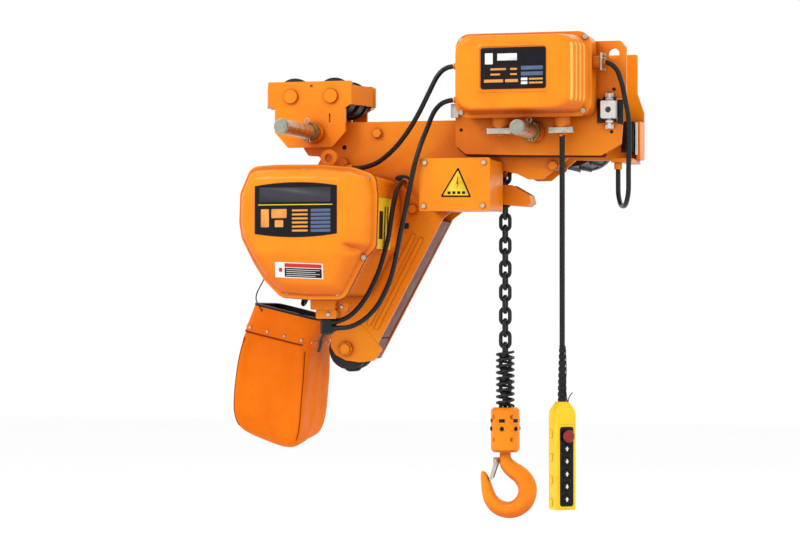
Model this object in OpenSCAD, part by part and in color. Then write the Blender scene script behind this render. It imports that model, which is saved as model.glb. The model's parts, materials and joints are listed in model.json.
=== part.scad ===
// Low-headroom electric chain hoist that hangs from a beam on two trolleys. Millimetres.
// X runs along the beam, +Y points to the back and +Z is up. The origin is on the beam's
// centreline at the height of the wheel treads, straight above the hook.

/* [Trolleys] */
// Radius of a wheel's tread
tread_r = 36; // [35:0.5:36.5]
// Thickness of a trolley side plate
side_plate_t = 8; // [7:0.5:9]
// Radius of a suspension shaft
shaft_r = 15.5; // [15:0.25:15.75]

/* [Frame] */
// Thickness of a frame plate
frame_t = 6; // [5:0.5:6]

/* [Chain] */
// Diameter of the chain wire
wire_d = 8; // [7.8:0.1:8]
// Inside length of a link
pitch = 24; // [24:1:24]

/* [Hook] */
// Radius of the hook block
block_r = 29.5; // [28:0.5:30]
// Radius of the hook's shank
shank_r = 11.2; // [11:0.05:11.2]

/* [Bag] */
// Thickness of the bag's wall
bag_t = 4; // [3:0.5:5]

/* [Pendant] */
// Spacing of the buttons
button_pitch = 25; // [24:0.5:25]

/* [Hidden] */
$fn = 48;
round_fn = 32;
fit = 0.05;

// Side plates of the trolleys and plates of the frame
side_in = 74;
side_out = side_in + side_plate_t;
frame_in = 36;
frame_out = frame_in + frame_t;
axle_r = 10;
plain_xs = [-434.5, -348.5];
drive_xs = [30, 134];
left_shaft = [-384, -40];
right_shaft = [80, -46];

// Travel gears: wheels and pinion of module 2, motor stage of module 3
pinion_at = [82, 36];
travel_motor_at = [112, -45.66];
// Lift gears of module 2.5
sprocket_at = [-342, -251];
cluster_at = [-299.574, -208.574];

// Chain path: up from the hook, over the upper sheave, round the lower one, over the sprocket
upper_at = [-40, -85];
upper_r = 40;
lower_at = [-327, -484];
lower_r = 35;
sprocket_r = 38.2;
link_gap = 0.2;
wire_r = wire_d / 2;
link_half_w = 9.5;
last_link_z = -608;
lower_links = 10;
upper_wrap = 153.05;
lower_wrap = 167.57;
sprocket_wrap = 174.5;
long_run = 485.7;
short_run = 221.8;
bag_run = 170;

// Hook block and pendant
block_top = -603;
block_bottom = -694;
pendant_at = [146, -122];
pendant_turn = 40;
swing_z = -56;
estop_z = -654;

// Routes of the cables
cable_r = 5;
pendant_cable_r = 5.5;
route_a = [
  [-80, -120, 87], [-90, -120, 85], [-100, -121, 80], [-108, -122, 72], [-116, -123, 60], [-131, -124, 30],
  [-151, -118, -5], [-176, -108, -40], [-207, -98, -74], [-243, -87, -100], [-275, -79, -111],
  [-305, -74, -114]
];
route_b = [
  [-80, -120, 19], [-91, -121, 17], [-102, -124, 12], [-111, -130, 2], [-118, -138, -13],
  [-125, -152, -40], [-135, -166, -75], [-145, -174, -115], [-154, -177, -160], [-163, -177, -205],
  [-175, -176, -258], [-188, -175, -320], [-200, -175, -356], [-216, -176, -388], [-236, -178, -413],
  [-258, -180, -430], [-281, -180, -439], [-306, -180, -441]
];
route_c = [
  [-199, -54, -142], [-199, -72, -143], [-199, -90, -149], [-199, -108, -158], [-198, -126, -172],
  [-198, -142, -192], [-199, -153, -218], [-204, -160, -262], [-219, -164, -318], [-231, -167, -348],
  [-246, -171, -378], [-263, -176, -402], [-283, -179, -419], [-306, -180, -428]
];
route_d = [
  [234, -120, 88], [244, -119, 84], [252, -117, 77], [258, -115, 68], [262, -112, 55], [266, -107, 38],
  [270, -100, 10], [274, -95, -15], [276, -91, -44], [275, -86, -74], [273, -82, -102], [272, -80, -126],
  [272, -80, -151], [271, -77, -168], [267, -68, -182], [261, -55, -192], [254, -40, -195],
  [246, -25, -192], [240, -12, -182], [236, -3, -168], [235, 0, -151], [235, 0, -135], [235, 0, -119]
];
route_pendant = [
  [146, -122, -54], [146, -122, -80], [146, -122, -180], [146, -122, -280], [146, -122, -380],
  [146, -122, -475]
];

// The hook's body from shank to tip: x, z, half thickness, half depth
hook_rows = [
  [0, -696, 11.2, 11.2], [0, -706, 12, 12], [4, -718, 15, 13], [16, -730, 17, 14], [32, -741, 18, 15],
  [44, -757, 19, 15.5], [47, -775, 19, 16], [40, -794, 19, 16], [24, -808, 18, 16], [4, -812, 17, 15.5],
  [-16, -806, 16, 15], [-30, -792, 14.5, 13.5], [-37, -774, 12.5, 12], [-41, -756, 10, 10],
  [-45, -742, 7, 7.5], [-47, -736, 3, 4]
];

paint = "DarkOrange";
dark = "DimGray";
steel = "Silver";
black = "Black";

// ---- Shared shapes ----

// Extrudes an outline in X and Z between two depths.
module slab(y0, y1) {
  translate([0, y1, 0]) rotate([90, 0, 0]) linear_extrude(y1 - y0) children();
}

module y_rod(at, y0, y1, r, sides = 48) {
  translate([at[0], y1, at[1]]) rotate([90, 0, 0]) cylinder(h = y1 - y0, r = r, $fn = sides);
}

module x_rod(y, z, x0, x1, r, sides = 48) {
  translate([x0, y, z]) rotate([0, 90, 0]) cylinder(h = x1 - x0, r = r, $fn = sides);
}

module z_rod(x, y, z0, z1, r, sides = 48) {
  translate([x, y, z0]) cylinder(h = z1 - z0, r = r, $fn = sides);
}

module block(x, y, z) {
  translate([x[0], y[0], z[0]]) cube([x[1] - x[0], y[1] - y[0], z[1] - z[0]]);
}

module rounded(r) {
  offset(r = r, $fn = round_fn) offset(delta = -r) children();
}

module rounded_box(x, y, r) {
  rounded(r) translate([x[0], y[0]]) square([x[1] - x[0], y[1] - y[0]]);
}

module both_sides() {
  children();
  mirror([0, 1, 0]) children();
}

// ---- Swept tubes ----

function unit(v) = v / norm(v);

function heading(p, i) = unit(p[min(i + 1, len(p) - 1)] - p[max(i - 1, 0)]);

function between(a, b, c, d, t) =
  0.5 * (2 * b + (c - a) * t + (2 * a - 5 * b + 4 * c - d) * t * t + (3 * b - a - 3 * c + d) * t * t * t);

// The points of a route with extra ones put smoothly between them.
function smooth(p, steps) = [
  for (i = [0 : len(p) - 2], j = [0 : steps - 1])
    between(p[max(i - 1, 0)], p[i], p[i + 1], p[min(i + 2, len(p) - 1)], j / steps),
  p[len(p) - 1]
];

function ring(centre, along, side, a, b, n) =
  let(s = unit(cross(along, side)), u = cross(s, along))
  [for (k = [0 : n - 1]) centre + a * cos(360 * k / n) * s + b * sin(360 * k / n) * u];

function skin(rings, n) = concat(
  [[for (k = [0 : n - 1]) n - 1 - k]],
  [for (i = [0 : rings - 2], k = [0 : n - 1]) [i * n + k, (i + 1) * n + (k + 1) % n, (i + 1) * n + k]],
  [for (i = [0 : rings - 2], k = [0 : n - 1]) [i * n + k, i * n + (k + 1) % n, (i + 1) * n + (k + 1) % n]],
  [[for (k = [0 : n - 1]) (rings - 1) * n + k]]
);

module tube(route, r, n = 10, side = [0, 1, 0]) {
  points = [for (i = [0 : len(route) - 1]) each ring(route[i], heading(route, i), side, r, r, n)];
  polyhedron(points, skin(len(route), n));
}

// ---- Gears ----

pressure_angle = 25;
backlash = 0.25;

function roll(base, r) = let(a = acos(min(1, base / r))) tan(a) * 180 / PI - a;

function half_tooth(pitch_r, teeth, r) =
  let(base = pitch_r * cos(pressure_angle), use = max(base, r))
  90 / teeth - backlash / pitch_r * 90 / PI + roll(base, pitch_r) - roll(base, use);

// Involute outline with short teeth, one of them at the given angle.
module gear_outline(mod, teeth, turn) {
  pitch_r = mod * teeth / 2;
  radii = [pitch_r - 1.1 * mod, pitch_r - 0.5 * mod, pitch_r, pitch_r + 0.4 * mod, pitch_r + 0.8 * mod];
  polygon([
    for (k = [0 : teeth - 1], i = [0 : 9])
      let(r = radii[i < 5 ? i : 9 - i], h = half_tooth(pitch_r, teeth, r) * (i < 5 ? -1 : 1))
      r * [cos(turn + 360 * k / teeth + h), sin(turn + 360 * k / teeth + h)]
  ]);
}

module gear(at, y0, y1, mod, teeth, turn) {
  translate([at[0], 0, at[1]]) slab(y0, y1) gear_outline(mod, teeth, turn);
}

// ---- Chain ----

module link(r = wire_r) {
  half = (pitch + link_gap + wire_d) / 2 - link_half_w;
  for (side = [0, 1])
    mirror([0, 0, side]) translate([0, 0, half]) rotate([90, 0, 0])
      rotate_extrude(angle = 180) translate([link_half_w, 0]) circle(r);
  for (x = [-link_half_w, link_half_w])
    z_rod(x, 0, -half, half, r);
}

// Where the chain is, a distance up from the lowest link: x, z and heading in degrees.
rise = upper_at[1] - last_link_z;
s_upper = rise + upper_r * upper_wrap * PI / 180;
s_long = s_upper + long_run;
s_lower = s_long + lower_r * lower_wrap * PI / 180;
s_short = s_lower + short_run;
s_sprocket = s_short + sprocket_r * sprocket_wrap * PI / 180;

function polar(at, r, a) = [at[0] + r * cos(a), at[1] + r * sin(a)];
function onward(at, a, d) = [at[0] + d * cos(a), at[1] + d * sin(a), a];

function chain_at(s) =
  s < rise ? [0, last_link_z + s, 90]
  : s < s_upper ? let(a = (s - rise) / upper_r * 180 / PI) [each polar(upper_at, upper_r, a), 90 + a]
  : s < s_long ? onward(polar(upper_at, upper_r, upper_wrap), 90 + upper_wrap, s - s_upper)
  : s < s_lower ? let(a = upper_wrap + 180 - (s - s_long) / lower_r * 180 / PI)
      [each polar(lower_at, lower_r, a), a - 90]
  : s < s_short ? onward(polar(lower_at, lower_r, upper_wrap + 180 - lower_wrap),
      90 + upper_wrap - lower_wrap, s - s_lower)
  : s < s_sprocket ? let(a = upper_wrap - lower_wrap + (s - s_short) / sprocket_r * 180 / PI)
      [each polar(sprocket_at, sprocket_r, a), 90 + a]
  : onward(polar(sprocket_at, sprocket_r, upper_wrap - lower_wrap + sprocket_wrap),
      90 + upper_wrap - lower_wrap + sprocket_wrap, s - s_sprocket);

// A link bends about the wire centres of the flat links, so those are the long steps of the path.
function half_reach(k) = pitch / 2 + (k % 2 == 0 ? -1 : 1) * (wire_r + link_gap / 2);

function link_ends(k) = [chain_at(k * pitch - half_reach(k)), chain_at(k * pitch + half_reach(k))];

module chain_link(k, r = wire_r) {
  ends = link_ends(k);
  middle = (ends[0] + ends[1]) / 2;
  along = ends[1] - ends[0];
  translate([middle[0], 0, middle[1]]) rotate([0, 90 - atan2(along[1], along[0]), 0])
    rotate([0, 0, 90 * (k % 2)]) link(r);
}

// The first flat link that lies on the sprocket sets where its pockets are.
sprocket_k = 2 * ceil(s_short / pitch / 2) + 1;
pocket_turn = chain_at(sprocket_k * pitch)[2] - 90;

// ---- Frame ----

module frame_outline() {
  rounded(6) polygon([
    [-425, -16], [140, -16], [140, -98], [132, -104], [88, -139], [58, -139], [32, -126], [6, -121],
    [-121, -216], [-277, -505], [-332, -499], [-357, -475], [-362, -400], [-430, -310], [-442, -200],
    [-400, -120], [-380, -86], [-410, -84], [-418, -72], [-425, -60]
  ]);
}

// Tie bolts with a head on both sides, on the back only, and on neither side
open_ties = [[-184, -197], [-332, -100], [110, -112], [-260, -40]];
back_ties = [[-290, -170]];
flush_ties = [[-410, -250]];
tie_points = concat(open_ties, back_ties, flush_ties);

module frame_holes(y0, y1) {
  for (at = [left_shaft, right_shaft])
    y_rod(at, y0, y1, shaft_r + fit);
  for (at = [upper_at, lower_at])
    y_rod(at, y0, y1, axle_r + fit);
  y_rod([-62, -152], y0, y1, 5 + fit);
  for (at = tie_points)
    y_rod(at, y0, y1, 6);
  y_rod(sprocket_at, y0, y1, 24);
}

module frame_front_plate() {
  color(paint) {
    difference() {
      slab(-frame_out, -frame_in) frame_outline();
      frame_holes(-frame_out - 1, -frame_in + 1);
      y_rod([-332, -68], -frame_out - 1, -frame_in + 1, 5);
    }
    for (shift = [4, 20])
      translate([-232 + shift, -frame_out - 2, -335 - shift / 2]) rotate([0, 27.8, 0])
        block([-4, 4], [0, 2], [-110, 100]);
  }
}

module frame_rear_plate() {
  color(paint) difference() {
    slab(frame_in, frame_out) frame_outline();
    frame_holes(frame_in - 1, frame_out + 1);
  }
}

module frame_spacers() {
  color(dark) {
    for (at = tie_points)
      difference() {
        y_rod(at, -frame_in, frame_in, 9);
        y_rod(at, -frame_in - 1, frame_in + 1, 6);
      }
    slab(-frame_in, frame_in)
      polygon([[-125, -222], [-128.5, -220], [-259, -460], [-255.5, -460]]);
  }
}

// A washer and a bolt head on the back face of the frame.
module bolt_head(at) {
  y_rod(at, frame_out, frame_out + 2, 11);
  y_rod(at, frame_out + 2, frame_out + 9, 9.5, 6);
}

module frame_hardware() {
  color(steel) {
    for (at = tie_points)
      y_rod(at, -frame_out, frame_out, 5.9);
    for (at = open_ties)
      both_sides() bolt_head(at);
    for (at = back_ties)
      bolt_head(at);
    for (at = [upper_at, lower_at])
      both_sides() difference() {
        y_rod(at, frame_out, frame_out + 8, 15, 6);
        y_rod(at, frame_out - 1, frame_out + 9, axle_r);
      }
    for (stack = [[left_shaft, -118], [left_shaft, 82], [right_shaft, -114]])
      difference() {
        y_rod(stack[0], stack[1], stack[1] + 10, 20, 6);
        y_rod(stack[0], stack[1] - 1, stack[1] + 11, shaft_r);
      }
  }
}

// ---- Trolleys ----

module axle_bores(xs, y0, y1) {
  for (x = xs)
    y_rod([x, tread_r], y0, y1, axle_r);
}

module plain_outline() {
  rounded(3) polygon([
    [-485, 67], [-305, 67], [-305, 20], [-318, 12], [-318, -38],
    [-346, -69], [-442, -69], [-470, -37], [-470, 10], [-485, 24]
  ]);
}

// A guide end, bent back and outward above the beam's flange.
module guide_end(x, out) {
  translate([0, 0, 18]) linear_extrude(40) polygon([
    [x, -side_out], [x - out * 8, -side_out], [x - out * 8, -side_in], [x + out * 17, -12],
    [x + out * 25, -12]
  ]);
}

module plain_plate() {
  difference() {
    union() {
      slab(-side_out, -side_in) plain_outline();
      guide_end(-305, 1);
      guide_end(-485, -1);
    }
    axle_bores(plain_xs, -side_out - 1, -side_in + 1);
    y_rod(left_shaft, -side_out - 1, -side_in + 1, shaft_r + fit);
    y_rod([-391, 57], -side_out - 1, -side_in + 1, 3);
    block([-353, -350], [-side_out - 1, -side_in + 1], [-18, 0]);
  }
}

module plain_plate_front() {
  color(paint) plain_plate();
}

module plain_plate_rear() {
  color(paint) mirror([0, 1, 0]) plain_plate();
}

module drive_plate_front() {
  color(paint) difference() {
    slab(-side_out, -side_in) rounded(3) difference() {
      polygon([
        [-84, -70], [-63, -88], [60, -92], [217, -95], [257, -73], [260, -33], [268, -33], [268, 120],
        [256, 134], [-84, 134]
      ]);
      rounded_box([209, 290], [-33, 20], 6);
    }
    axle_bores(drive_xs, -side_out - 1, -side_in + 1);
    y_rod(right_shaft, -side_out - 1, -side_in + 1, shaft_r + fit);
    y_rod([243, 108], -side_out - 1, -side_in + 1, 11);
    for (at = [[238, -48], [-72, -39], [243, 37]])
      y_rod(at, -side_out - 1, -side_in + 1, 3.5);
  }
}

module drive_plate_rear() {
  color(paint) difference() {
    union() {
      slab(side_in, side_out) rounded(3)
        polygon([
          [-84, -73], [-63, -90], [216, -97], [274, -97], [274, 0], [260, 40], [260, 120], [-84, 120]
        ]);
      block([266, 274], [side_in - 40, side_in], [-97, -20]);
    }
    axle_bores(drive_xs, side_in - 1, side_out + 1);
    y_rod(right_shaft, side_in - 1, side_out + 1, shaft_r + fit);
    y_rod(pinion_at, side_in - 1, side_out + 1, 8 + 2 * fit);
  }
}

module suspension_shafts() {
  color(steel) {
    difference() {
      y_rod(left_shaft, -300, 112, shaft_r);
      z_rod(left_shaft[0], -132, -90, 0, 2.6);
    }
    y_rod(left_shaft, -304, -300, shaft_r - 2);
    difference() {
      y_rod(right_shaft, -232, 88, shaft_r);
      z_rod(right_shaft[0], -128, -90, 0, 2.6);
    }
    y_rod(right_shaft, -236, -232, shaft_r - 2);
    difference() {
      y_rod(right_shaft, side_out, 88, 20);
      y_rod(right_shaft, side_out - 1, 89, shaft_r - 1);
    }
  }
}

module collar(at, y0, y1, r) {
  difference() {
    y_rod(at, y0, y1, r);
    y_rod(at, y0 - 1, y1 + 1, shaft_r + fit);
  }
}

module shaft_collars() {
  color(paint) for (at = [left_shaft, right_shaft]) {
    collar(at, -side_out - 22, -side_out, 21);
    both_sides() {
      collar(at, frame_out, frame_out + 16, 21);
      collar(at, frame_out + 16, side_in, 19);
    }
  }
}

module axle_pins() {
  color(steel) {
    for (x = concat(plain_xs, drive_xs))
      both_sides() {
        y_rod([x, tread_r], -side_out, -13, axle_r);
        y_rod([x, tread_r], -side_out - 6, -side_out, 14);
        y_rod([x, tread_r], -side_in, -66, 15);
        y_rod([x, tread_r], -12.5, -10, 14);
        y_rod([x, tread_r], -13, -12.5, axle_r);
      }
    for (at = [upper_at, lower_at])
      y_rod(at, -frame_out - 12, frame_out + 12, axle_r);
    y_rod([-62, -152], -frame_out, frame_out, 5);
  }
}

// A wheel with its bore, on the front side of the beam.
module wheel(x, flange_r = 40) {
  translate([x, 0, tread_r]) rotate([-90, 0, 0]) rotate_extrude() polygon([
    [axle_r + fit, -65.5], [18, -65.5], [18, -60], [flange_r, -60], [flange_r, -52.5], [tread_r, -52.5],
    [tread_r, -15], [30, -15], [28, -22], [18, -24], [16, -13.5], [axle_r + fit, -13.5]
  ]);
}

module wheel_pair(x) {
  color(dark) both_sides() wheel(x);
}

module drive_wheel_pair(x) {
  color(dark) {
    wheel(x);
    mirror([0, 1, 0]) difference() {
      union() {
        wheel(x, 37.5);
        gear([x, tread_r], -60, -52.5, 2, 40, 4.5);
      }
      y_rod([x, tread_r], -66, -13, axle_r + fit);
    }
  }
}

module plain_wheels_left() {
  wheel_pair(plain_xs[0]);
}

module plain_wheels_right() {
  wheel_pair(plain_xs[1]);
}

module drive_wheels_left() {
  drive_wheel_pair(drive_xs[0]);
}

module drive_wheels_right() {
  drive_wheel_pair(drive_xs[1]);
}

module travel_pinion() {
  color(steel) {
    gear(pinion_at, 51, 61.5, 2, 12, 0);
    y_rod(pinion_at, 61.5, 118, 8);
    gear(pinion_at, 100, 112, 3, 44, -69.83);
  }
}

module travel_gearbox_outline() {
  hull() {
    translate(pinion_at) circle(76);
    translate(travel_motor_at) circle(48);
  }
}

module travel_gearbox() {
  color(paint) difference() {
    slab(92, 135) travel_gearbox_outline();
    slab(96, 131) offset(delta = -5) travel_gearbox_outline();
    y_rod(pinion_at, 90, 97, 8 + 2 * fit);
    y_rod(travel_motor_at, 130, 136, 12);
  }
}

module fins(at, y0, y1, r0, r1, count) {
  for (k = [0 : count - 1])
    translate([at[0], 0, at[1]]) rotate([0, 360 * (k + 0.5) / count, 0])
      block([r0 - 3, r1], [y0, y1], [-1.5, 1.5]);
}

module travel_motor() {
  color(dark) {
    difference() {
      union() {
        y_rod(travel_motor_at, 135, 275, 58);
        fins(travel_motor_at, 150, 265, 58, 65, 16);
      }
      y_rod(travel_motor_at, 142, 270, 50);
      y_rod(travel_motor_at, 134, 143, 12);
    }
    difference() {
      y_rod(travel_motor_at, 170, 240, 50);
      y_rod(travel_motor_at, 169, 241, 34);
    }
    difference() {
      y_rod(travel_motor_at, 275, 298, 60);
      y_rod(travel_motor_at, 274, 294, 56);
      for (z = [-30, -15, 0, 15, 30])
        translate([travel_motor_at[0], 0, travel_motor_at[1] + z]) block([-34, 34], [290, 300], [-2.5, 2.5]);
    }
  }
}

module travel_rotor() {
  color(steel) {
    gear(travel_motor_at, 99, 113, 3, 14, 110.17 + 90 / 7);
    y_rod(travel_motor_at, 113, 262, 8);
    y_rod(travel_motor_at, 172, 238, 32);
  }
}

module guide_block() {
  color("WhiteSmoke") {
    difference() {
      slab(-104, -66) rounded_box([220, 250], [-22, 13], 3);
      y_rod([235, -5], -105, -80, 6);
    }
    z_rod(235, -90, 13, 28, 4);
    z_rod(235, -90, -41, -22, 4);
    z_rod(235, -90, 15, 19, 8, 6);
    z_rod(235, -90, -30, -26, 8, 6);
    block([227, 243], [-89, -82], [21, 29]);
    block([227, 243], [-89, -82], [-42, -34]);
  }
}

// ---- Control box ----

supply_x = 20;
box_x = [-65, 212];
box_z = [-21, 148];
rim_y = -150;
box_screws = [[-53, -9], [196, -10], [-53, 136], [200, 136]];

module control_box() {
  color(paint) {
    difference() {
      slab(rim_y, -90) rounded_box([box_x[0] + 3, box_x[1] - 3], [box_z[0] + 3, box_z[1] - 3], 22);
      slab(rim_y - 1, -95) rounded_box([box_x[0] + 8, box_x[1] - 8], [box_z[0] + 8, box_z[1] - 8], 18);
    }
    for (at = [[-30, 10], [170, 10], [-30, 118], [170, 118]])
      y_rod(at, -90, -side_out, 9);
  }
}

module pillow(grow, deeper) {
  hull() {
    slab(rim_y - 6, rim_y) rounded_box([-58 - grow, 204 + grow], [-14 - grow, 141 + grow], 30 + grow);
    slab(-197 - deeper, -196) rounded_box([-54 - grow, 190 + grow], [-12 - grow, 139 + grow], 30 + grow);
    slab(-215 - deeper, -214) rounded_box([-47 - grow, 174 + grow], [-8 - grow, 136 + grow], 34 + grow);
  }
}

module control_cover() {
  color(paint) {
    difference() {
      union() {
        pillow(0, 0);
        slab(rim_y - 5, rim_y) rounded_box(box_x, box_z, 28);
      }
      translate([0, 5, 0]) pillow(-5, 0);
      for (at = box_screws)
        y_rod(at, rim_y - 6, rim_y + 1, 3);
    }
    for (y = [-204, -192, -180, -168])
      block([190, 200 + (y + 204) / 8], [y, y + 4], [22, 106]);
  }
}

module screw(at, y, r, depth) {
  y_rod(at, y - 4, y, r);
  y_rod(at, y, y + depth, r / 2);
}

lid_screws = [[-127, -109], [-5, -110], [-129, -196], [-7, -196]];
hoist_screws = [
  [-452, -136], [-352, -126], [-262, -132], [-221, -144], [-229, -300], [-283, -371], [-388, -368],
  [-475, -258]
];

module cover_screws() {
  color(steel) {
    for (at = box_screws)
      screw(at, rim_y - 5, 5, 5);
    for (at = lid_screws)
      screw(at, -160, 4.5, 10);
    for (at = hoist_screws)
      screw(at, -246, 5, 6);
  }
}

module barrel(x, z, bow) {
  rounded(5) intersection() {
    translate([x[0], z[0] - bow]) square([x[1] - x[0], z[1] - z[0] + 2 * bow]);
    translate([(x[0] + x[1]) / 2, z[1] + bow - 420]) circle(420, $fn = 120);
    translate([(x[0] + x[1]) / 2, z[0] - bow + 420]) circle(420, $fn = 120);
  }
}

module labels() {
  color(black) {
    slab(-216, -215) rounded_box([2, 134], [31, 113], 5);
    slab(-286, -285) barrel([-444, -273], [-253, -158], 7);
    slab(-286, -285) rounded_box([-404, -303], [-342, -310], 2);
    slab(-161, -160) polygon([[-59, -118], [-31, -179], [-95, -178]]);
  }
}

module contactors() {
  color(black) for (x = [-30, 20, 70, 120])
    block([x, x + 40], [-145, -95], [30, 105]);
}

// Glands: end face on the cable, and which way the cable leaves.
module gland(at, turn, r) {
  translate(at) rotate(turn) {
    cylinder(h = 4, r = r + 5, $fn = 6);
    translate([0, 0, 4]) cylinder(h = 7, r = r + 3.5);
    translate([0, 0, 11]) cylinder(h = 4, r = r + 1.5);
  }
}

module cable_glands() {
  color(paint) {
    gland([box_x[0] + 3, -120, 87], [0, -90, 0], cable_r);
    gland([box_x[0] + 3, -120, 19], [0, -90, 0], cable_r);
    x_rod(-120, 88, box_x[1] - 3, 226, 13);
    x_rod(-120, 88, 226, 234, 8);
    difference() {
      for (x = [supply_x, pendant_at[0]]) {
        z_rod(x, pendant_at[1], -42, box_z[0] + 3, 17);
        z_rod(x, pendant_at[1], swing_z, -42, 10);
      }
      z_rod(supply_x, pendant_at[1], swing_z - 1, box_z[0] + 4, 6);
      z_rod(pendant_at[0], pendant_at[1], swing_z - 1, swing_z + 6, 8.5);
    }
    for (y = [-134, -115.5])
      y_rod([pendant_at[0], swing_z], y, y + 5.5, 3);
    difference() {
      slab(-200, -160) rounded_box([-355, -303], [-404, -366], 4);
      slab(-201, -159) offset(delta = -9) body_outline();
    }
    slab(-198, -162) rounded_box([-344, -301], [-422, -403], 4);
    slab(-188, -172) rounded_box([-304, -280], [-407, -390], 3);
    z_rod(-326, -180, -450, -421, 13);
    x_rod(-180, -441, -318, -306, 6);
    x_rod(-180, -428, -318, -306, 5.9);
    translate([-305, -74, -114]) rotate([0, -90, 0]) cylinder(h = 14, r = 8);
    difference() {
      block([-331, -319], [-82, -66], [-130, -104]);
      slab(-83, -65) offset(delta = -9) body_outline();
    }
    y_rod([-199, -142], -54, -frame_out, 8);
    z_rod(235, 0, -119, -105, 8);
    block([223, 265], [-12, 12], [-105, -97]);
    block([240, 265], [12, side_out], [-105, -97]);
  }
}

module gland_clamps() {
  color(steel) {
    for (x = [supply_x, pendant_at[0]]) {
      difference() {
        translate([0, 0, -46]) linear_extrude(4) rounded_box([x - 24, x + 24], [-136, -108], 4);
        z_rod(x, pendant_at[1], -50, -40, 10.1);
      }
      for (dx = [-20, 20])
        z_rod(x + dx, pendant_at[1], -52, -46, 4, 6);
    }
    difference() {
      translate([227, 0, 0]) rotate([90, 0, 90]) linear_extrude(3) rounded_box([-140, -100], [70, 106], 4);
      x_rod(-120, 88, 226, 231, 8.1);
    }
    for (dz = [-14, 14])
      x_rod(-120, 88 + dz, 230, 234, 3.5, 6);
    block([-92, -76], [-90, -side_out], [-14, 14]);
  }
}

// ---- Limit-switch box ----

module limit_box() {
  color(paint) difference() {
    slab(-150, -frame_out - 0.1) rounded_box([-137, 5], [-204, -102], 3);
    slab(-151, -50) rounded_box([-133, 1], [-200, -106], 3);
  }
}

module limit_box_lid() {
  color(paint) difference() {
    slab(-160, -150) rounded_box([-139, 7], [-206, -100], 4);
    for (at = lid_screws)
      y_rod(at, -161, -149, 2.3);
  }
}

// The lever is bent from plate and holds the chain in its slot.
module limit_lever() {
  color(paint) difference() {
    slab(-24, 24) rounded(2) polygon([
      [-70, -144], [-40, -147], [20, -149], [56, -170], [60, -186], [50, -193], [22, -191], [-20, -186],
      [-70, -160]
    ]);
    slab(-20, 20) polygon([
      [-80, -100], [66, -100], [66, -164], [52, -172], [55, -184], [48, -188.5], [22, -187], [-20, -182],
      [-80, -170]
    ]);
    block([-18, 18], [-18, 18], [-200, -140]);
    y_rod([-62, -152], -25, 25, 5 + fit);
  }
}

// ---- Hoist body ----

eye_at = [-340, -94];
module body_outline() {
  rounded(24) polygon([
    [-466, -117], [-414, -114], [-316, -115], [-252, -121], [-206, -136], [-202, -178], [-205, -281],
    [-225, -299], [-270, -384], [-342, -384], [-403, -379], [-438, -344], [-460, -310], [-486, -260],
    [-491, -228], [-489, -170]
  ]);
}

module hoist_body() {
  color(paint) {
    difference() {
      union() {
        slab(-238, -frame_out - 0.1) offset(delta = -9) body_outline();
        slab(-240, -230) body_outline();
      }
      slab(-241, -58) offset(delta = -17) body_outline();
      slab(-59, -49) intersection() {
        offset(delta = -17) body_outline();
        translate(sprocket_at) circle(62);
      }
      y_rod(sprocket_at, -60, -40, 22);
    }
    y_rod(cluster_at, -98.5, -56, 12);
    y_rod(cluster_at, -134, -98.5, 8);
    difference() {
      slab(-126, -114) union() {
        translate([-350, -127]) square([20, 30]);
        translate(eye_at) circle(17);
      }
      y_rod(eye_at, -127, -113, 8);
    }
  }
}

module dome(shrink, lift) {
  hull() {
    slab(-248, -240) offset(delta = -8 - shrink) body_outline();
    slab(-268 + lift, -267 + lift) offset(delta = -12 - shrink) body_outline();
    slab(-285 + lift, -284 + lift) offset(delta = -27 - shrink) body_outline();
  }
}

module hoist_cover() {
  color(paint) difference() {
    union() {
      dome(0, 0);
      slab(-246, -240) body_outline();
    }
    translate([0, 1, 0]) dome(6, 5);
    slab(-290, -270) rounded_box([-264, -238], [-292, -277], 4);
  }
}

module motor_housing() {
  color(dark) {
    difference() {
      union() {
        y_rod(sprocket_at, frame_out + 0.1, 232, 82);
        fins(sprocket_at, 60, 222, 82, 90, 20);
      }
      y_rod(sprocket_at, frame_out + 8, 233, 72);
      y_rod(sprocket_at, frame_out - 1, frame_out + 9, 12);
    }
    difference() {
      y_rod(sprocket_at, 90, 180, 72);
      y_rod(sprocket_at, 89, 181, 50);
    }
    difference() {
      y_rod(sprocket_at, 232, 268, 86);
      y_rod(sprocket_at, 231, 264, 82);
      for (z = [-48, -32, -16, 0, 16, 32, 48])
        translate([sprocket_at[0], 0, sprocket_at[1] + z]) block([-52, 52], [262, 270], [-3, 3]);
    }
  }
}

module load_sprocket() {
  color(steel) difference() {
    union() {
      y_rod(sprocket_at, -20, 20, sprocket_r + 3);
      y_rod(sprocket_at, -118, 34, 18);
      gear(sprocket_at, -118, -100, 2.5, 36, 45);
    }
    translate([sprocket_at[0], 0, sprocket_at[1]]) rotate([-90, 0, 0]) rotate_extrude()
      polygon([[sprocket_r - 15.2, -5], [60, -5], [60, 5], [sprocket_r - 15.2, 5]]);
    for (k = [0 : 4])
      translate([sprocket_at[0], 0, sprocket_at[1]]) rotate([0, -pocket_turn - 72 * k, 0])
        block([sprocket_r - 8.2, 60], [-15, 15], [-21.5, 21.5]);
    y_rod(sprocket_at, -120, 40, 10.5);
  }
}

module gear_cluster() {
  color(steel) difference() {
    union() {
      gear(cluster_at, -119, -99.5, 2.5, 12, 0);
      gear(cluster_at, -150, -132, 2.5, 36, 0);
      y_rod(cluster_at, -160, -100.5, 11);
    }
    y_rod(cluster_at, -135, -90, 8 + fit);
  }
}

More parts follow.
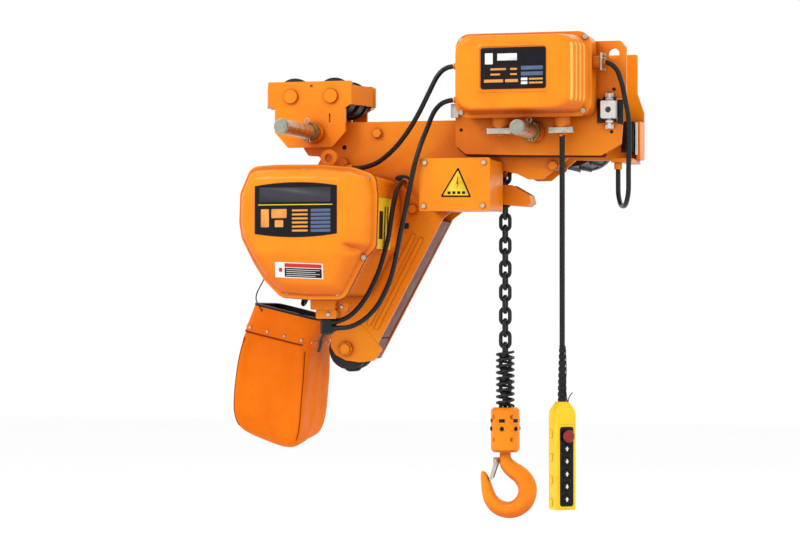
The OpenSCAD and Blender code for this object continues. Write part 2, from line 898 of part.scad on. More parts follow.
module lift_rotor() {
  color(steel) {
    gear(sprocket_at, -151, -131, 2.5, 12, 45);
    y_rod(sprocket_at, -165, 258, 9);
    y_rod(sprocket_at, 92, 178, 48);
    y_rod(sprocket_at, 238, 246, 24);
    for (k = [0 : 5])
      translate([sprocket_at[0], 0, sprocket_at[1]]) rotate([0, 60 * k, 0])
        block([20, 74], [238, 256], [-1.5, 1.5]);
  }
}

// A grooved sheave: flat links ride on its rim and upright ones in the groove.
module sheave(at, r) {
  translate([at[0], 0, at[1]]) rotate([-90, 0, 0]) rotate_extrude() polygon([
    [axle_r + fit, -24], [r + 8, -24], [r + 8, -18], [r + 2, -15], [r - 8.6, -15], [r - 8.6, -5.5],
    [r - 15.2, -5.5], [r - 15.2, 5.5], [r - 8.6, 5.5], [r - 8.6, 15], [r + 2, 15], [r + 8, 18], [r + 8, 24],
    [axle_r + fit, 24]
  ]);
}

module upper_sheave() {
  color(dark) sheave(upper_at, upper_r);
}

module lower_sheave() {
  color(dark) sheave(lower_at, lower_r);
}

// ---- Chain, spring, hook ----

last_k = floor((s_sprocket + bag_run) / pitch);

module fixed_chain() {
  color(black) for (k = [lower_links : last_k])
    chain_link(k, k < rise / pitch ? wire_r - 0.1 : wire_r);
}

module hook_chain() {
  color(black) for (k = [0 : lower_links - 1])
    chain_link(k);
}

spring_coils = 9;
spring_steps = 14;
spring_r = 17;
spring_wire = 2.8;
spring_h = 111;

module buffer_spring() {
  steps = spring_coils * spring_steps;
  foot = block_top + spring_wire + 0.1;
  color(black) tube(
    [for (i = [0 : steps])
      let(a = 360 * i / spring_steps)
      [spring_r * cos(a), spring_r * sin(a), foot + spring_h * i / steps]],
    spring_wire, 8, [0, 0, 1]);
}

module hook_block() {
  color(paint) {
    difference() {
      rotate_extrude() polygon([
        [0, block_bottom], [block_r - 5, block_bottom], [block_r, block_bottom + 5], [block_r, block_top - 5],
        [block_r - 5, block_top], [0, block_top]
      ]);
      z_rod(0, 0, block_top - 29, block_top + 1, 14.2);
      z_rod(0, 0, -682, -652, 19);
      z_rod(0, 0, block_bottom - 1, -680, shank_r + fit);
      for (z = [-622, -668])
        for (x = [-20.5, 20.5])
          y_rod([x, z], -40, -20, 4.5);
    }
    y_rod([0, -615.9], -block_r + 3, block_r - 3, 4);
  }
}

module hook() {
  rows = smooth([for (row = hook_rows) [row[0], 0, row[1], row[2], row[3]]], 2);
  path = [for (row = rows) [row[0], 0, row[2]]];
  points = [for (i = [0 : len(path) - 1])
    each ring(path[i], heading(path, i), [0, 1, 0], rows[i][3], rows[i][4], 16)];
  color(paint) {
    polyhedron(points, skin(len(path), 16));
    z_rod(0, 0, -698, -660, shank_r);
    z_rod(0, 0, -672, -660, 17);
    difference() {
      block([-25, -4], [-4, 4], [-720, -704]);
      block([-26, -21], [-5, 5], [-725, -716]);
    }
    y_rod([-18, -712], -12, 12, 2.5);
  }
}

module hook_latch() {
  color(steel) {
    difference() {
      for (side = [-1, 1])
        translate([0, side * 6.5, 0]) slab(-1.5, 1.5) polygon([
          [-22, -707], [-14, -707], [-14, -716], [-25, -748], [-29, -746], [-23, -716]
        ]);
      y_rod([-18, -712], -13, 13, 2.5 + fit);
    }
    slab(-8, 8) polygon([[-24.5, -724], [-21.5, -724], [-29.5, -752], [-32.5, -751]]);
  }
}

// ---- Bag ----

bag_middle = [-450, -12, -435];
bag_tilt = 13.4;

module tilted() {
  translate(bag_middle) rotate([0, bag_tilt, 0]) children();
}

module bag_collar() {
  color(paint) tilted() {
    difference() {
      translate([0, 0, -29]) linear_extrude(58) rounded_box([-71, 71], [-83, 83], 20);
      translate([0, 0, -30]) linear_extrude(60) rounded_box([-68.5, 68.5], [-80.5, 80.5], 18);
    }
  }
}

module bag_rivets() {
  color(steel) tilted() for (side = [0, 1])
    mirror([0, side, 0]) for (x = [-50, -30, -10, 10, 30, 50])
      translate([x, -83, -8]) rotate([90, 0, 0]) cylinder(h = 2.5, r = 4);
}

module bag_shape(shrink) {
  hull() {
    tilted() translate([0, 0, -34]) linear_extrude(2 + shrink * 2)
      rounded_box([-72 + shrink, 72 - shrink], [-84 + shrink, 84 - shrink], 20 - shrink);
    translate([-475, -13, -560]) rotate([1, 10, 0]) linear_extrude(2)
      rounded_box([-78 + shrink, 78 - shrink], [-88 + shrink, 88 - shrink], 20 - shrink);
    translate([-480, -14, -610]) rotate([4, 9.5, 0]) linear_extrude(2)
      rounded_box([-76 + shrink, 76 - shrink], [-86 + shrink, 86 - shrink], 26 - shrink);
    translate([-489, -16.5, -662 + shrink]) rotate([9, 15, 0]) linear_extrude(6)
      rounded_box([-46 + shrink, 46 - shrink], [-54 + shrink, 54 - shrink], 30 - shrink);
  }
}

module chain_bag() {
  color(paint) difference() {
    bag_shape(0);
    bag_shape(bag_t);
  }
}

// ---- Cables ----

module cable_a() {
  color(black) tube(route_a, cable_r);
}

module cable_b() {
  color(black) tube(route_b, cable_r);
}

module cable_c() {
  color(black) tube(route_c, cable_r, 10, [1, 1, 0]);
}

module cable_d() {
  color(black) tube(route_d, cable_r);
}

// ---- Pendant ----

module on_pendant() {
  translate([pendant_at[0], pendant_at[1], 0]) rotate([0, 0, pendant_turn]) children();
}

module pendant_cable() {
  color(black) tube(route_pendant, pendant_cable_r);
}

module pendant_boot() {
  color(black) translate([pendant_at[0], pendant_at[1], 0]) rotate_extrude() polygon([
    [0, -475], [7, -475],
    each [for (k = [0 : 7]) each [[7.4 + 0.35 * k, -479 - 13 * k], [7.4 + 0.35 * k, -485 - 13 * k],
      [6.2 + 0.35 * k, -487 - 13 * k], [6.2 + 0.35 * k, -490 - 13 * k]]],
    [10, -587], [0, -587]
  ]);
}

function button_z(k) = estop_z - button_pitch * k;

module pendant_housing() {
  color("Gold") on_pendant() {
    difference() {
      union() {
        translate([0, 0, -801]) linear_extrude(197) rounded_box([-23, 23], [-18, 18], 6);
        hull() {
          translate([0, 0, -604]) linear_extrude(1) rounded_box([-23, 23], [-18, 18], 6);
          translate([0, 0, -588]) linear_extrude(1) rounded_box([-13, 13], [-12, 12], 6);
        }
      }
      translate([0, 0, -798]) linear_extrude(192) rounded_box([-20, 20], [-9, 15], 4);
      slab(-19, -13) rounded_box([-15, 15], [-794, -638], 4);
      for (k = [0 : 5])
        y_rod([0, button_z(k)], -20, -8, 6 + fit);
    }
    for (x = [-23, 23], z = [-660, -720, -780])
      block([x - 2, x + 2], [-4, 6], [z - 8, z + 8]);
  }
}

module stop_button() {
  color("Red") on_pendant() {
    y_rod([0, estop_z], -16.5, -4, 6);
    y_rod([0, estop_z], -26, -16.5, 9);
    y_rod([0, estop_z], -34, -26, 12);
  }
}

module push_button(k) {
  color(black) on_pendant() {
    y_rod([0, button_z(k)], -16.5, -4, 6);
    y_rod([0, button_z(k)], -21, -16.5, 8.5);
  }
}

module button_1() {
  push_button(1);
}

module button_2() {
  push_button(2);
}

module button_3() {
  push_button(3);
}

module button_4() {
  push_button(4);
}

module button_5() {
  push_button(5);
}

frame_front_plate();
frame_rear_plate();
frame_spacers();
frame_hardware();
plain_plate_front();
plain_plate_rear();
drive_plate_front();
drive_plate_rear();
suspension_shafts();
shaft_collars();
axle_pins();
travel_gearbox();
travel_motor();
guide_block();
control_box();
control_cover();
cover_screws();
labels();
contactors();
cable_glands();
gland_clamps();
limit_box();
limit_box_lid();
hoist_body();
hoist_cover();
motor_housing();
fixed_chain();
bag_collar();
bag_rivets();
chain_bag();
cable_a();
cable_b();
cable_c();
cable_d();
plain_wheels_left();
plain_wheels_right();
drive_wheels_left();
drive_wheels_right();
travel_pinion();
travel_rotor();
load_sprocket();
gear_cluster();
lift_rotor();
upper_sheave();
lower_sheave();
hook_chain();
buffer_spring();
hook_block();
hook();
hook_latch();
limit_lever();
pendant_cable();
pendant_boot();
pendant_housing();
stop_button();
button_1();
button_2();
button_3();
button_4();
button_5();
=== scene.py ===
"""Looks of the chain hoist: paint, cloth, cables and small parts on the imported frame. Metres."""
import json
import math

import bmesh
import bpy
from mathutils import Matrix, Vector, noise


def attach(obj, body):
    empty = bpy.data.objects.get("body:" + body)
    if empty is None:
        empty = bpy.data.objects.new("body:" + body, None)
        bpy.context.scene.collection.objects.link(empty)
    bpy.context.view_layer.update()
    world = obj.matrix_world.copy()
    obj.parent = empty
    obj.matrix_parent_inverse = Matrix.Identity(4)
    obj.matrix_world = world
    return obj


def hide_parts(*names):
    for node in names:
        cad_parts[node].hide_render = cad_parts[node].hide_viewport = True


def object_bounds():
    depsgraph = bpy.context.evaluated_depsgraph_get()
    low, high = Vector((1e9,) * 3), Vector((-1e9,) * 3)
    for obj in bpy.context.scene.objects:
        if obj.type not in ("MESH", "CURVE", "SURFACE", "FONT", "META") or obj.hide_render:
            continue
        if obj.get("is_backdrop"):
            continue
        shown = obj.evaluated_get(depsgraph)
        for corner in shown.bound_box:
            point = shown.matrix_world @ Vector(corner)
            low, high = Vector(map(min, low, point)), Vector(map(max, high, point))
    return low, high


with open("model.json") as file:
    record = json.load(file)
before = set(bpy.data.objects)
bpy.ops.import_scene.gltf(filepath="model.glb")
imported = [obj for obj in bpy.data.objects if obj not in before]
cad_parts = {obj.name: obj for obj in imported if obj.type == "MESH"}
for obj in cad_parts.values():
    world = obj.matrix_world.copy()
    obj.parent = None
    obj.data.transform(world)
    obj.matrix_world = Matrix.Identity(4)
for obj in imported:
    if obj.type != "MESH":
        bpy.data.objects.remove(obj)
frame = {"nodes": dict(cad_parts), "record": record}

cad_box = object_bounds()
NODES = frame["nodes"]
MM = 0.001


def mm(*values):
    return Vector([v * MM for v in values])


# ---- Camera ----

CAMERA_AT = mm(1318, -5436, -419)
CAMERA_TURN = 15.838
CAMERA_TILT = -1.068
CAMERA_ROLL = 0.052
LENS = 122.85


def make_camera():
    data = bpy.data.cameras.new("camera")
    data.lens = LENS
    data.sensor_width = 36
    data.clip_end = 50
    cam = bpy.data.objects.new("camera", data)
    bpy.context.collection.objects.link(cam)
    turn, tilt = math.radians(CAMERA_TURN), math.radians(CAMERA_TILT)
    back = Vector((math.sin(turn) * math.cos(tilt), -math.cos(turn) * math.cos(tilt), math.sin(tilt)))
    cam.rotation_mode = "QUATERNION"
    roll = Matrix.Rotation(math.radians(CAMERA_ROLL), 4, back)
    cam.rotation_quaternion = roll.to_quaternion() @ (-back).to_track_quat("-Z", "Y")
    cam.location = CAMERA_AT
    bpy.context.scene.camera = cam


make_camera()

# ---- Node materials ----


class Mat:
    """A material whose nodes are added one line at a time."""

    def __init__(self, name, **values):
        self.mat = bpy.data.materials.new(name)
        self.mat.use_nodes = True
        self.tree = self.mat.node_tree
        self.shader = self.tree.nodes["Principled BSDF"]
        self.set(self.shader, values)

    def set(self, node, values):
        for key, value in values.items():
            socket = node.inputs[key.replace("_", " ")]
            if isinstance(value, bpy.types.NodeSocket):
                self.tree.links.new(value, socket)
            else:
                socket.default_value = value

    def node(self, kind, props=None, **values):
        node = self.tree.nodes.new("ShaderNode" + kind)
        for key, value in (props or {}).items():
            setattr(node, key, value)
        self.set(node, values)
        return node

    def coords(self):
        return self.node("TexCoord").outputs["Object"]

    def noise(self, scale, detail=4.0, roughness=0.55, distortion=0.0, vector=None):
        made = self.node("TexNoise", Scale=scale, Detail=detail, Roughness=roughness, Distortion=distortion)
        self.tree.links.new(vector or self.coords(), made.inputs["Vector"])
        return made.outputs["Fac"]

    def span(self, value, low, high, new_low, new_high):
        made = self.node("MapRange", Value=value)
        for key, number in zip(("From Min", "From Max", "To Min", "To Max"), (low, high, new_low, new_high)):
            made.inputs[key].default_value = number
        return made.outputs["Result"]

    def mix(self, factor, a, b, blend="MIX"):
        made = self.node("Mix", {"data_type": "RGBA", "blend_type": blend})
        for index, value in ((0, factor), (6, a), (7, b)):
            if isinstance(value, bpy.types.NodeSocket):
                self.tree.links.new(value, made.inputs[index])
            else:
                made.inputs[index].default_value = value if index == 0 else (*value, 1)
        return made.outputs[2]

    def math(self, how, a, b=0.0):
        made = self.node("Math", {"operation": how})
        for index, value in ((0, a), (1, b)):
            if isinstance(value, bpy.types.NodeSocket):
                self.tree.links.new(value, made.inputs[index])
            else:
                made.inputs[index].default_value = value
        return made.outputs[0]

    def bump(self, height, strength, distance, normal=None):
        made = self.node("Bump", Height=height, Strength=strength, Distance=distance)
        if normal:
            self.tree.links.new(normal, made.inputs["Normal"])
        return made.outputs["Normal"]

    def soft_edges(self, radius=0.0009):
        return self.node("Bevel", {"samples": 4}, Radius=radius).outputs["Normal"]

    def facing_down(self):
        """1 on a face that looks straight down, 0 on a level or an upward one."""
        parts = self.node("SeparateXYZ", Vector=self.node("TexCoord").outputs["Normal"])
        return self.math("MULTIPLY", parts.outputs["Z"], -1.0)

    def crevices(self, distance=0.02):
        return self.node("AmbientOcclusion", {"samples": 6}, Distance=distance).outputs["AO"]


def paint(name, color, deep, rough=0.3, coat=0.06, crevice_shade=0.6, edges=0.0009):
    """Gloss paint with painted shade: a deeper colour in hollows and on faces that look down."""
    m = Mat(name)
    tone = m.span(m.noise(9, 3), 0.35, 0.65, 0, 1)
    base = m.mix(m.math("MULTIPLY", tone, 0.3), color, deep)
    fine = m.noise(55, 5, 0.65)
    base = m.mix(m.span(fine, 0.55, 0.75, 0, 0.2), base, deep)
    # Painted shade: a broad darkening towards the deep colour wherever the surface is hemmed in by other
    # parts.
    wide = m.span(m.crevices(0.09), 0.35, 0.95, 0.75, 0)
    base = m.mix(wide, base, tuple(c * 0.72 for c in deep))
    # Painted shade: faces that look down turn a deeper red, and those that look straight down nearly dark
    # brown.
    down = m.facing_down()
    base = m.mix(m.span(down, 0.05, 0.6, 0, 0.75), base, tuple(c * 0.8 for c in deep))
    base = m.mix(m.span(down, 0.75, 1, 0, 0.6), base, (deep[0] * 0.3, deep[1] * 0.2, deep[2]))
    # Painted shade: small hollows and creases darken to nearly black; the sixth argument sets how strongly.
    hollow = m.span(m.crevices(0.014), 0.25, 0.9, crevice_shade, 0)
    base = m.mix(hollow, base, (deep[0] * 0.12, deep[1] * 0.1, deep[2] * 0.6))
    specks = m.span(m.noise(420, 2, 0.5), 0.72, 0.78, 0, 0.6)
    base = m.mix(m.math("MULTIPLY", specks, m.span(m.noise(14), 0.5, 0.7, 0, 1)), base, (0.09, 0.05, 0.03))
    normal = m.bump(m.noise(330, 2, 0.4), 0.09, 0.0006, m.soft_edges(edges))
    normal = m.bump(m.noise(12, 2), 0.12, 0.003, normal)
    roughness = m.span(m.noise(38, 4), 0.3, 0.7, rough - 0.07, rough + 0.12)
    m.set(m.shader, {"Base Color": base, "Roughness": roughness, "Normal": normal,
                     "Specular IOR Level": 0.16})
    m.set(m.shader, {"Coat Weight": coat, "Coat Roughness": 0.12, "Coat IOR": 1.5})
    return m.mat


def metal(name, color, dark, rough=0.35, metallic=1.0, scale=60.0, wear=0.5):
    m = Mat(name)
    stain = m.span(m.noise(scale, 5, 0.6), 0.42, 0.72, 0, wear)
    base = m.mix(stain, color, dark)
    # Painted shade: darker in hollows and creases.
    hollow = m.span(m.crevices(0.012), 0.3, 0.95, 0.7, 0)
    base = m.mix(hollow, base, tuple(c * 0.3 for c in dark))
    grain = m.noise(900, 2, 0.5)
    normal = m.bump(grain, 0.12, 0.0003, m.soft_edges(0.0006))
    roughness = m.span(m.noise(90, 4), 0.3, 0.7, rough - 0.08, rough + 0.15)
    m.set(m.shader, {"Base Color": base, "Roughness": roughness, "Normal": normal, "Metallic": metallic})
    return m.mat


def plastic(name, color, dark, rough=0.4, coat=0.0, scale=70.0, grain_strength=0.1, shine=0.3):
    m = Mat(name)
    base = m.mix(m.span(m.noise(scale, 4), 0.4, 0.75, 0, 0.45), color, dark)
    # Painted shade: darker in hollows and creases.
    hollow = m.span(m.crevices(0.01), 0.3, 0.95, 0.55, 0)
    base = m.mix(hollow, base, tuple(c * 0.3 for c in dark))
    normal = m.bump(m.noise(700, 3, 0.5), grain_strength, 0.0004, m.soft_edges(0.0007))
    roughness = m.span(m.noise(45, 4), 0.3, 0.7, rough - 0.08, rough + 0.12)
    m.set(m.shader, {"Base Color": base, "Roughness": roughness, "Normal": normal,
                     "Specular IOR Level": shine})
    m.set(m.shader, {"Coat Weight": coat, "Coat Roughness": 0.15})
    return m.mat


def cloth(name, color, deep):
    m = Mat(name)
    coords = m.coords()
    weave = [
        m.node("TexWave", {"wave_type": "BANDS", "bands_direction": axis}, Vector=coords, Scale=330.0,
               Distortion=0.6, Detail=1.0).outputs["Fac"]
        for axis in ("X", "Z")
    ]
    threads = m.math("ADD", weave[0], weave[1])
    base = m.mix(m.span(m.noise(7, 3), 0.35, 0.7, 0, 0.5), color, deep)
    base = m.mix(m.span(m.noise(60, 5, 0.7), 0.5, 0.75, 0, 0.3), base, deep)
    base = m.mix(m.span(threads, 0.2, 1.2, 0.16, 0), base, tuple(c * 0.45 for c in deep))
    # Painted shade: darker in folds and hollows.
    hollow = m.span(m.crevices(0.03), 0.25, 0.95, 0.4, 0)
    base = m.mix(hollow, base, tuple(c * 0.35 for c in deep))
    normal = m.bump(threads, 0.25, 0.0005)
    normal = m.bump(m.noise(45, 4, 0.6), 0.35, 0.002, normal)
    m.set(m.shader, {"Base Color": base, "Roughness": m.span(m.noise(30), 0.3, 0.7, 0.42, 0.66),
                     "Normal": normal})
    m.set(m.shader, {"Specular IOR Level": 0.06})
    return m.mat


MATERIALS = {
    "orange_paint": paint("orange_paint", (0.92, 0.285, 0.008), (0.78, 0.12, 0.002)),
    "dark_steel": metal("dark_steel", (0.03, 0.026, 0.025), (0.014, 0.011, 0.01), 0.45, 0.6),
    "zinc_steel": metal("zinc_steel", (0.6, 0.56, 0.48), (0.2, 0.16, 0.11), 0.3),
    "dark_paint": paint("dark_paint", (0.04, 0.022, 0.022), (0.022, 0.012, 0.012), 0.42, 0.05),
    "white_plastic": plastic("white_plastic", (0.8, 0.8, 0.77), (0.5, 0.49, 0.45), 0.35),
    "label_black": plastic("label_black", (0.006, 0.006, 0.009), (0.014, 0.014, 0.018), 0.35, 0.0, 70.0,
                           0.05, 0.15),
    "black_chain": metal("black_chain", (0.012, 0.012, 0.012), (0.005, 0.004, 0.004), 0.38, 0.4, 120),
    "orange_fabric": cloth("orange_fabric", (0.88, 0.19, 0.004), (0.66, 0.1, 0.002)),
    "black_rubber": plastic("black_rubber", (0.005, 0.005, 0.006), (0.012, 0.011, 0.011), 0.28, 0.0, 70.0,
                            0.1, 0.3),
    "gear_steel": metal("gear_steel", (0.45, 0.45, 0.45), (0.2, 0.19, 0.18), 0.28),
    "yellow_plastic": plastic("yellow_plastic", (0.92, 0.6, 0.006), (0.78, 0.42, 0.004), 0.3, 0.1),
    "red_plastic": plastic("red_plastic", (0.3, 0.012, 0.01), (0.16, 0.006, 0.005), 0.3, 0.2),
    "black_plastic": plastic("black_plastic", (0.006, 0.006, 0.007), (0.014, 0.013, 0.013), 0.4, 0.0, 70.0,
                             0.1, 0.2),
}
# Painted shade: a dark red that stands for the orange paint where it lies in shade, between and behind the
# frame's plates.
SHADE_RED_PAINT = paint("shade_red_paint", (0.2, 0.02, 0.004), (0.1, 0.01, 0.003), 0.4)
# Painted highlight: a light orange for the ribs of the control cover.
RIDGE_HIGHLIGHT_PAINT = paint("ridge_highlight_paint", (1.0, 0.5, 0.09), (0.95, 0.36, 0.03), 0.2, 0.3, 0.2)
# A dark cloth for the bag's seams, used also as painted shadow under the collar.
SEAM_AND_SHADOW = cloth("seam_thread_and_shadow", (0.3, 0.04, 0.003), (0.16, 0.02, 0.002))
BRASS = metal("old_brass", (0.33, 0.24, 0.1), (0.14, 0.1, 0.05), 0.35)
SHAFT_END = metal("shaft_end", (0.33, 0.34, 0.27), (0.18, 0.19, 0.14), 0.45, 0.5)
LABEL_YELLOW = plastic("label_yellow", (0.88, 0.62, 0.02), (0.75, 0.5, 0.02), 0.35)
LABEL_ORANGE = plastic("label_orange", (0.8, 0.33, 0.06), (0.65, 0.2, 0.03), 0.4)
LABEL_GREY = plastic("label_grey", (0.1, 0.13, 0.24), (0.06, 0.08, 0.15), 0.4)
LABEL_WHITE = plastic("label_white", (0.82, 0.82, 0.8), (0.6, 0.6, 0.58), 0.35)
LABEL_RED = plastic("label_red", (0.6, 0.02, 0.02), (0.45, 0.02, 0.02), 0.35)
LABEL_DARK = plastic("label_dark", (0.035, 0.035, 0.045), (0.025, 0.025, 0.03), 0.4)

# Nodes that are painted over, unlike the rest of their slot. The frame's spacers and the travel gearbox get
# dark red painted shade.
PAINTED = {
    "axle_pins": MATERIALS["orange_paint"],
    "frame_hardware": MATERIALS["orange_paint"],
    "frame_spacers": SHADE_RED_PAINT,
    "travel_gearbox": SHADE_RED_PAINT,
}
for row in frame["record"]["subparts"]:
    shown = NODES[row["node"]]
    shown.data.materials.clear()
    shown.data.materials.append(PAINTED.get(row["node"], MATERIALS[row["material_slot"]]))

# ---- Making pieces ----


def add(name, mesh, material, body, replaces=(), smooth_angle=35):
    """Puts a mesh in the scene as a piece that rides on a body."""
    thing = bpy.data.objects.new(name, mesh)
    bpy.context.collection.objects.link(thing)
    thing.data.materials.append(material)
    if isinstance(mesh, bpy.types.Mesh) and smooth_angle:
        mesh.shade_smooth()
        mesh.set_sharp_from_angle(angle=math.radians(smooth_angle))
    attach(thing, body)
    if replaces:
        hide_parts(*replaces)
    return thing


def loft(name, rings, close_start=True, close_end=True, closed=True):
    """A mesh through rings that all have the same number of points."""
    made = bmesh.new()
    rows = [[made.verts.new(p) for p in ring] for ring in rings]
    count = len(rings[0])
    steps = count if closed else count - 1
    for a, b in zip(rows, rows[1:]):
        for k in range(steps):
            n = (k + 1) % count
            made.faces.new((a[k], a[n], b[n], b[k]))
    if close_start:
        made.faces.new(rows[0])
    if close_end:
        made.faces.new(rows[-1])
    bmesh.ops.recalc_face_normals(made, faces=made.faces)
    mesh = bpy.data.meshes.new(name)
    made.to_mesh(mesh)
    made.free()
    return mesh


def between(a, b, c, d, t):
    return 0.5 * (2 * b + (c - a) * t + (2 * a - 5 * b + 4 * c - d) * t * t + (3 * b - a - 3 * c + d)
                  * t ** 3)


def smooth(points, steps):
    out = []
    for i in range(len(points) - 1):
        a, b, c, d = points[max(i - 1, 0)], points[i], points[i + 1], points[min(i + 2, len(points) - 1)]
        out += [between(a, b, c, d, j / steps) for j in range(steps)]
    return out + [points[-1]]


def tube_rings(path, radii, sides, side=Vector((0, 1, 0))):
    rings = []
    for i, p in enumerate(path):
        along = (path[min(i + 1, len(path) - 1)] - path[max(i - 1, 0)]).normalized()
        s = along.cross(side).normalized()
        u = s.cross(along)
        a, b = radii[i] if isinstance(radii[i], tuple) else (radii[i], radii[i])
        rings.append([
            p + s * a * math.cos(2 * math.pi * k / sides) + u * b * math.sin(2 * math.pi * k / sides)
            for k in range(sides)
        ])
    return rings


# ---- Cords ----

CABLE_D = 0.010
PENDANT_CABLE_D = 0.011
ROUTES = {
    "cable_a": [
        (-80, -120, 87), (-90, -120, 85), (-100, -121, 80), (-108, -122, 72), (-116, -123, 60),
        (-131, -124, 30),
        (-151, -118, -5), (-176, -108, -40), (-207, -98, -74), (-243, -87, -100), (-275, -79, -111),
        (-305, -74, -114),
    ],
    "cable_b": [
        (-80, -120, 19), (-91, -121, 17), (-102, -124, 12), (-111, -130, 2), (-118, -138, -13),
        (-125, -152, -40), (-135, -166, -75), (-145, -174, -115), (-154, -177, -160), (-163, -177, -205),
        (-175, -176, -258), (-188, -175, -320), (-200, -175, -356), (-216, -176, -388), (-236, -178, -413),
        (-258, -180, -430), (-281, -180, -439), (-306, -180, -441),
    ],
    "cable_c": [
        (-199, -54, -142), (-199, -72, -143), (-199, -90, -149), (-199, -108, -158), (-198, -126, -172),
        (-198, -142, -192), (-199, -153, -218), (-204, -160, -262), (-219, -164, -318), (-231, -167, -348),
        (-246, -171, -378), (-263, -176, -402), (-283, -179, -419), (-306, -180, -428),
    ],
    "cable_d": [
        (234, -120, 88), (244, -119, 84), (252, -117, 77), (258, -115, 68), (262, -112, 55), (266, -107, 38),
        (270, -100, 10), (274, -95, -15), (276, -91, -44), (275, -86, -74), (273, -82, -102),
        (272, -80, -126),
        (272, -80, -151), (271, -77, -168), (267, -68, -182), (261, -55, -192), (254, -40, -195),
        (246, -25, -192), (240, -12, -182), (236, -3, -168), (235, 0, -151), (235, 0, -135), (235, 0, -119),
    ],
    "pendant_cable": [
        (146, -122, -54), (146, -122, -80), (146, -122, -180), (146, -122, -280), (146, -122, -380),
        (146, -122, -475),
    ],
}


def make_cord(node):
    points = smooth([mm(*p) for p in ROUTES[node]], 6)
    curve = bpy.data.curves.new(node + "_cord", "CURVE")
    curve.dimensions = "3D"
    spline = curve.splines.new("POLY")
    spline.points.add(len(points) - 1)
    for point, p in zip(spline.points, points):
        point.co = (*p, 1)
    pendant = node == "pendant_cable"
    diameter = PENDANT_CABLE_D if pendant else CABLE_D
    curve.bevel_depth = diameter / 2
    curve.bevel_resolution = 5
    curve.use_fill_caps = True
    cord = add(node + "_cord", curve, MATERIALS["black_rubber"], "pendant" if pendant else "frame",
               [node])
    length = sum((b - a).length for a, b in zip(points, points[1:]))
    tuple(points[0])


for node_name in ROUTES:
    make_cord(node_name)

# ---- Shapes ----


def rounded_rect(x, z, r, steps=7):
    """Points of a rounded rectangle in X and Z."""
    out = []
    corners = [(x[1] - r, z[1] - r), (x[0] + r, z[1] - r), (x[0] + r, z[0] + r), (x[1] - r, z[0] + r)]
    for first, (cx, cz) in zip((0, 90, 180, 270), corners):
        for k in range(steps + 1):
            a = math.radians(first + 90 * k / steps)
            out.append((cx + r * math.cos(a), cz + r * math.sin(a)))
    return out


def rounded_outline(corners, inset, r, arc=5, side=5):
    """Points of a polygon with rounded corners, moved inwards. Corners go clockwise."""
    count = len(corners)
    flat = [Vector(c) for c in corners]
    ways = [(flat[(k + 1) % count] - flat[k]).normalized() for k in range(count)]
    inward = [Vector((w.y, -w.x)) for w in ways]
    arcs = []
    for k in range(count):
        n1, n2 = inward[k - 1], inward[k]
        corner = flat[k] + (n1 + n2) * inset / (1 + n1.dot(n2))
        back = r * math.tan(n1.angle(n2) / 2)
        bent = -r if n1.cross(n2) > 0 else r
        centre = corner - ways[k - 1] * back + n1 * bent
        arcs.append([centre - n1.lerp(n2, t / arc).normalized() * bent for t in range(arc + 1)])
    out = []
    for k in range(count):
        out += arcs[k]
        a, b = arcs[k][-1], arcs[(k + 1) % count][0]
        out += [a.lerp(b, (t + 1) / (side + 1)) for t in range(side)]
    return [(p.x, p.y) for p in out]


def placed(points, y):
    return [mm(x, y, z) for x, z in points]


def turned(name, at, profile, axis=(0, -1, 0), sides=32, start=0.0):
    """A mesh turned round an axis from pairs of distance along it and radius."""
    along = Vector(axis).normalized()
    s = Vector((0, 0, 1)) if abs(along.z) < 0.9 else Vector((1, 0, 0))
    u = along.cross(s)
    angles = [2 * math.pi * k / sides + start for k in range(sides)]
    rings = [
        [mm(*at) + (along * d + (s * math.cos(a) + u * math.sin(a)) * r) * MM for a in angles] for d,
        r in profile
    ]
    return loft(name, rings)


def boxes(name, spans, bevel=0.8):
    """Boxes with rounded edges, each from spans in X, Y and Z."""
    made = bmesh.new()
    for span in spans:
        for v in bmesh.ops.create_cube(made, size=1)["verts"]:
            v.co = mm(*(s[0] if c < 0 else s[1] for c, s in zip(v.co, span)))
    bmesh.ops.bevel(made, geom=made.edges[:], offset=bevel * MM, segments=3, profile=0.5, affect="EDGES")
    mesh = bpy.data.meshes.new(name)
    made.to_mesh(mesh)
    made.free()
    return mesh


def joined(name, meshes):
    made = bmesh.new()
    for mesh in meshes:
        made.from_mesh(mesh)
        bpy.data.meshes.remove(mesh)
    mesh = bpy.data.meshes.new(name)
    made.to_mesh(mesh)
    made.free()
    return mesh


def moved(mesh, matrix):
    mesh.transform(matrix)
    return mesh


def wire(name, points, radius, material, body, steps=5):
    path = smooth([mm(*p) for p in points], steps)
    return add(name, loft(name, tube_rings(path, [radius * MM] * len(path), 10)), material, body)


# ---- Control cover ----

COVER_ROWS = [
    (-57, 204, -13, 140, 24, -150.2), (-64.6, 211.6, -20.6, 147.6, 28, -150.2),
    (-65, 212, -21, 148, 28, -151),
    (-65, 212, -21, 148, 28, -153.6), (-64, 211, -20, 147, 27, -155), (-60, 206, -16, 143, 30, -155.2),
    (-58.2, 204.4, -14.2, 141.4, 30, -156.4), (-57.6, 203, -14, 141, 30, -159),
    (-56, 197, -13, 140, 30, -178),
    (-54, 190, -12, 139, 31, -197), (-53, 187.5, -11.6, 138.6, 31.5, -203),
    (-51, 183, -10.6, 137.8, 32, -209),
    (-48.5, 177.5, -9, 136.6, 33, -213.2), (-45, 171, -6.5, 134, 33, -215.2), (-40, 164, -3, 130, 31, -215.6),
    (-10, 146, 19, 125, 14, -215.6), (-5, 141, 24, 120, 10, -215.8), (-4, 140, 25, 119, 9.5, -216.6),
    (-2, 138, 27, 117, 9, -216.7), (-0.6, 136.6, 28.4, 115.6, 8, -216.4), (0, 136, 29, 115, 7.5, -215.6),
]


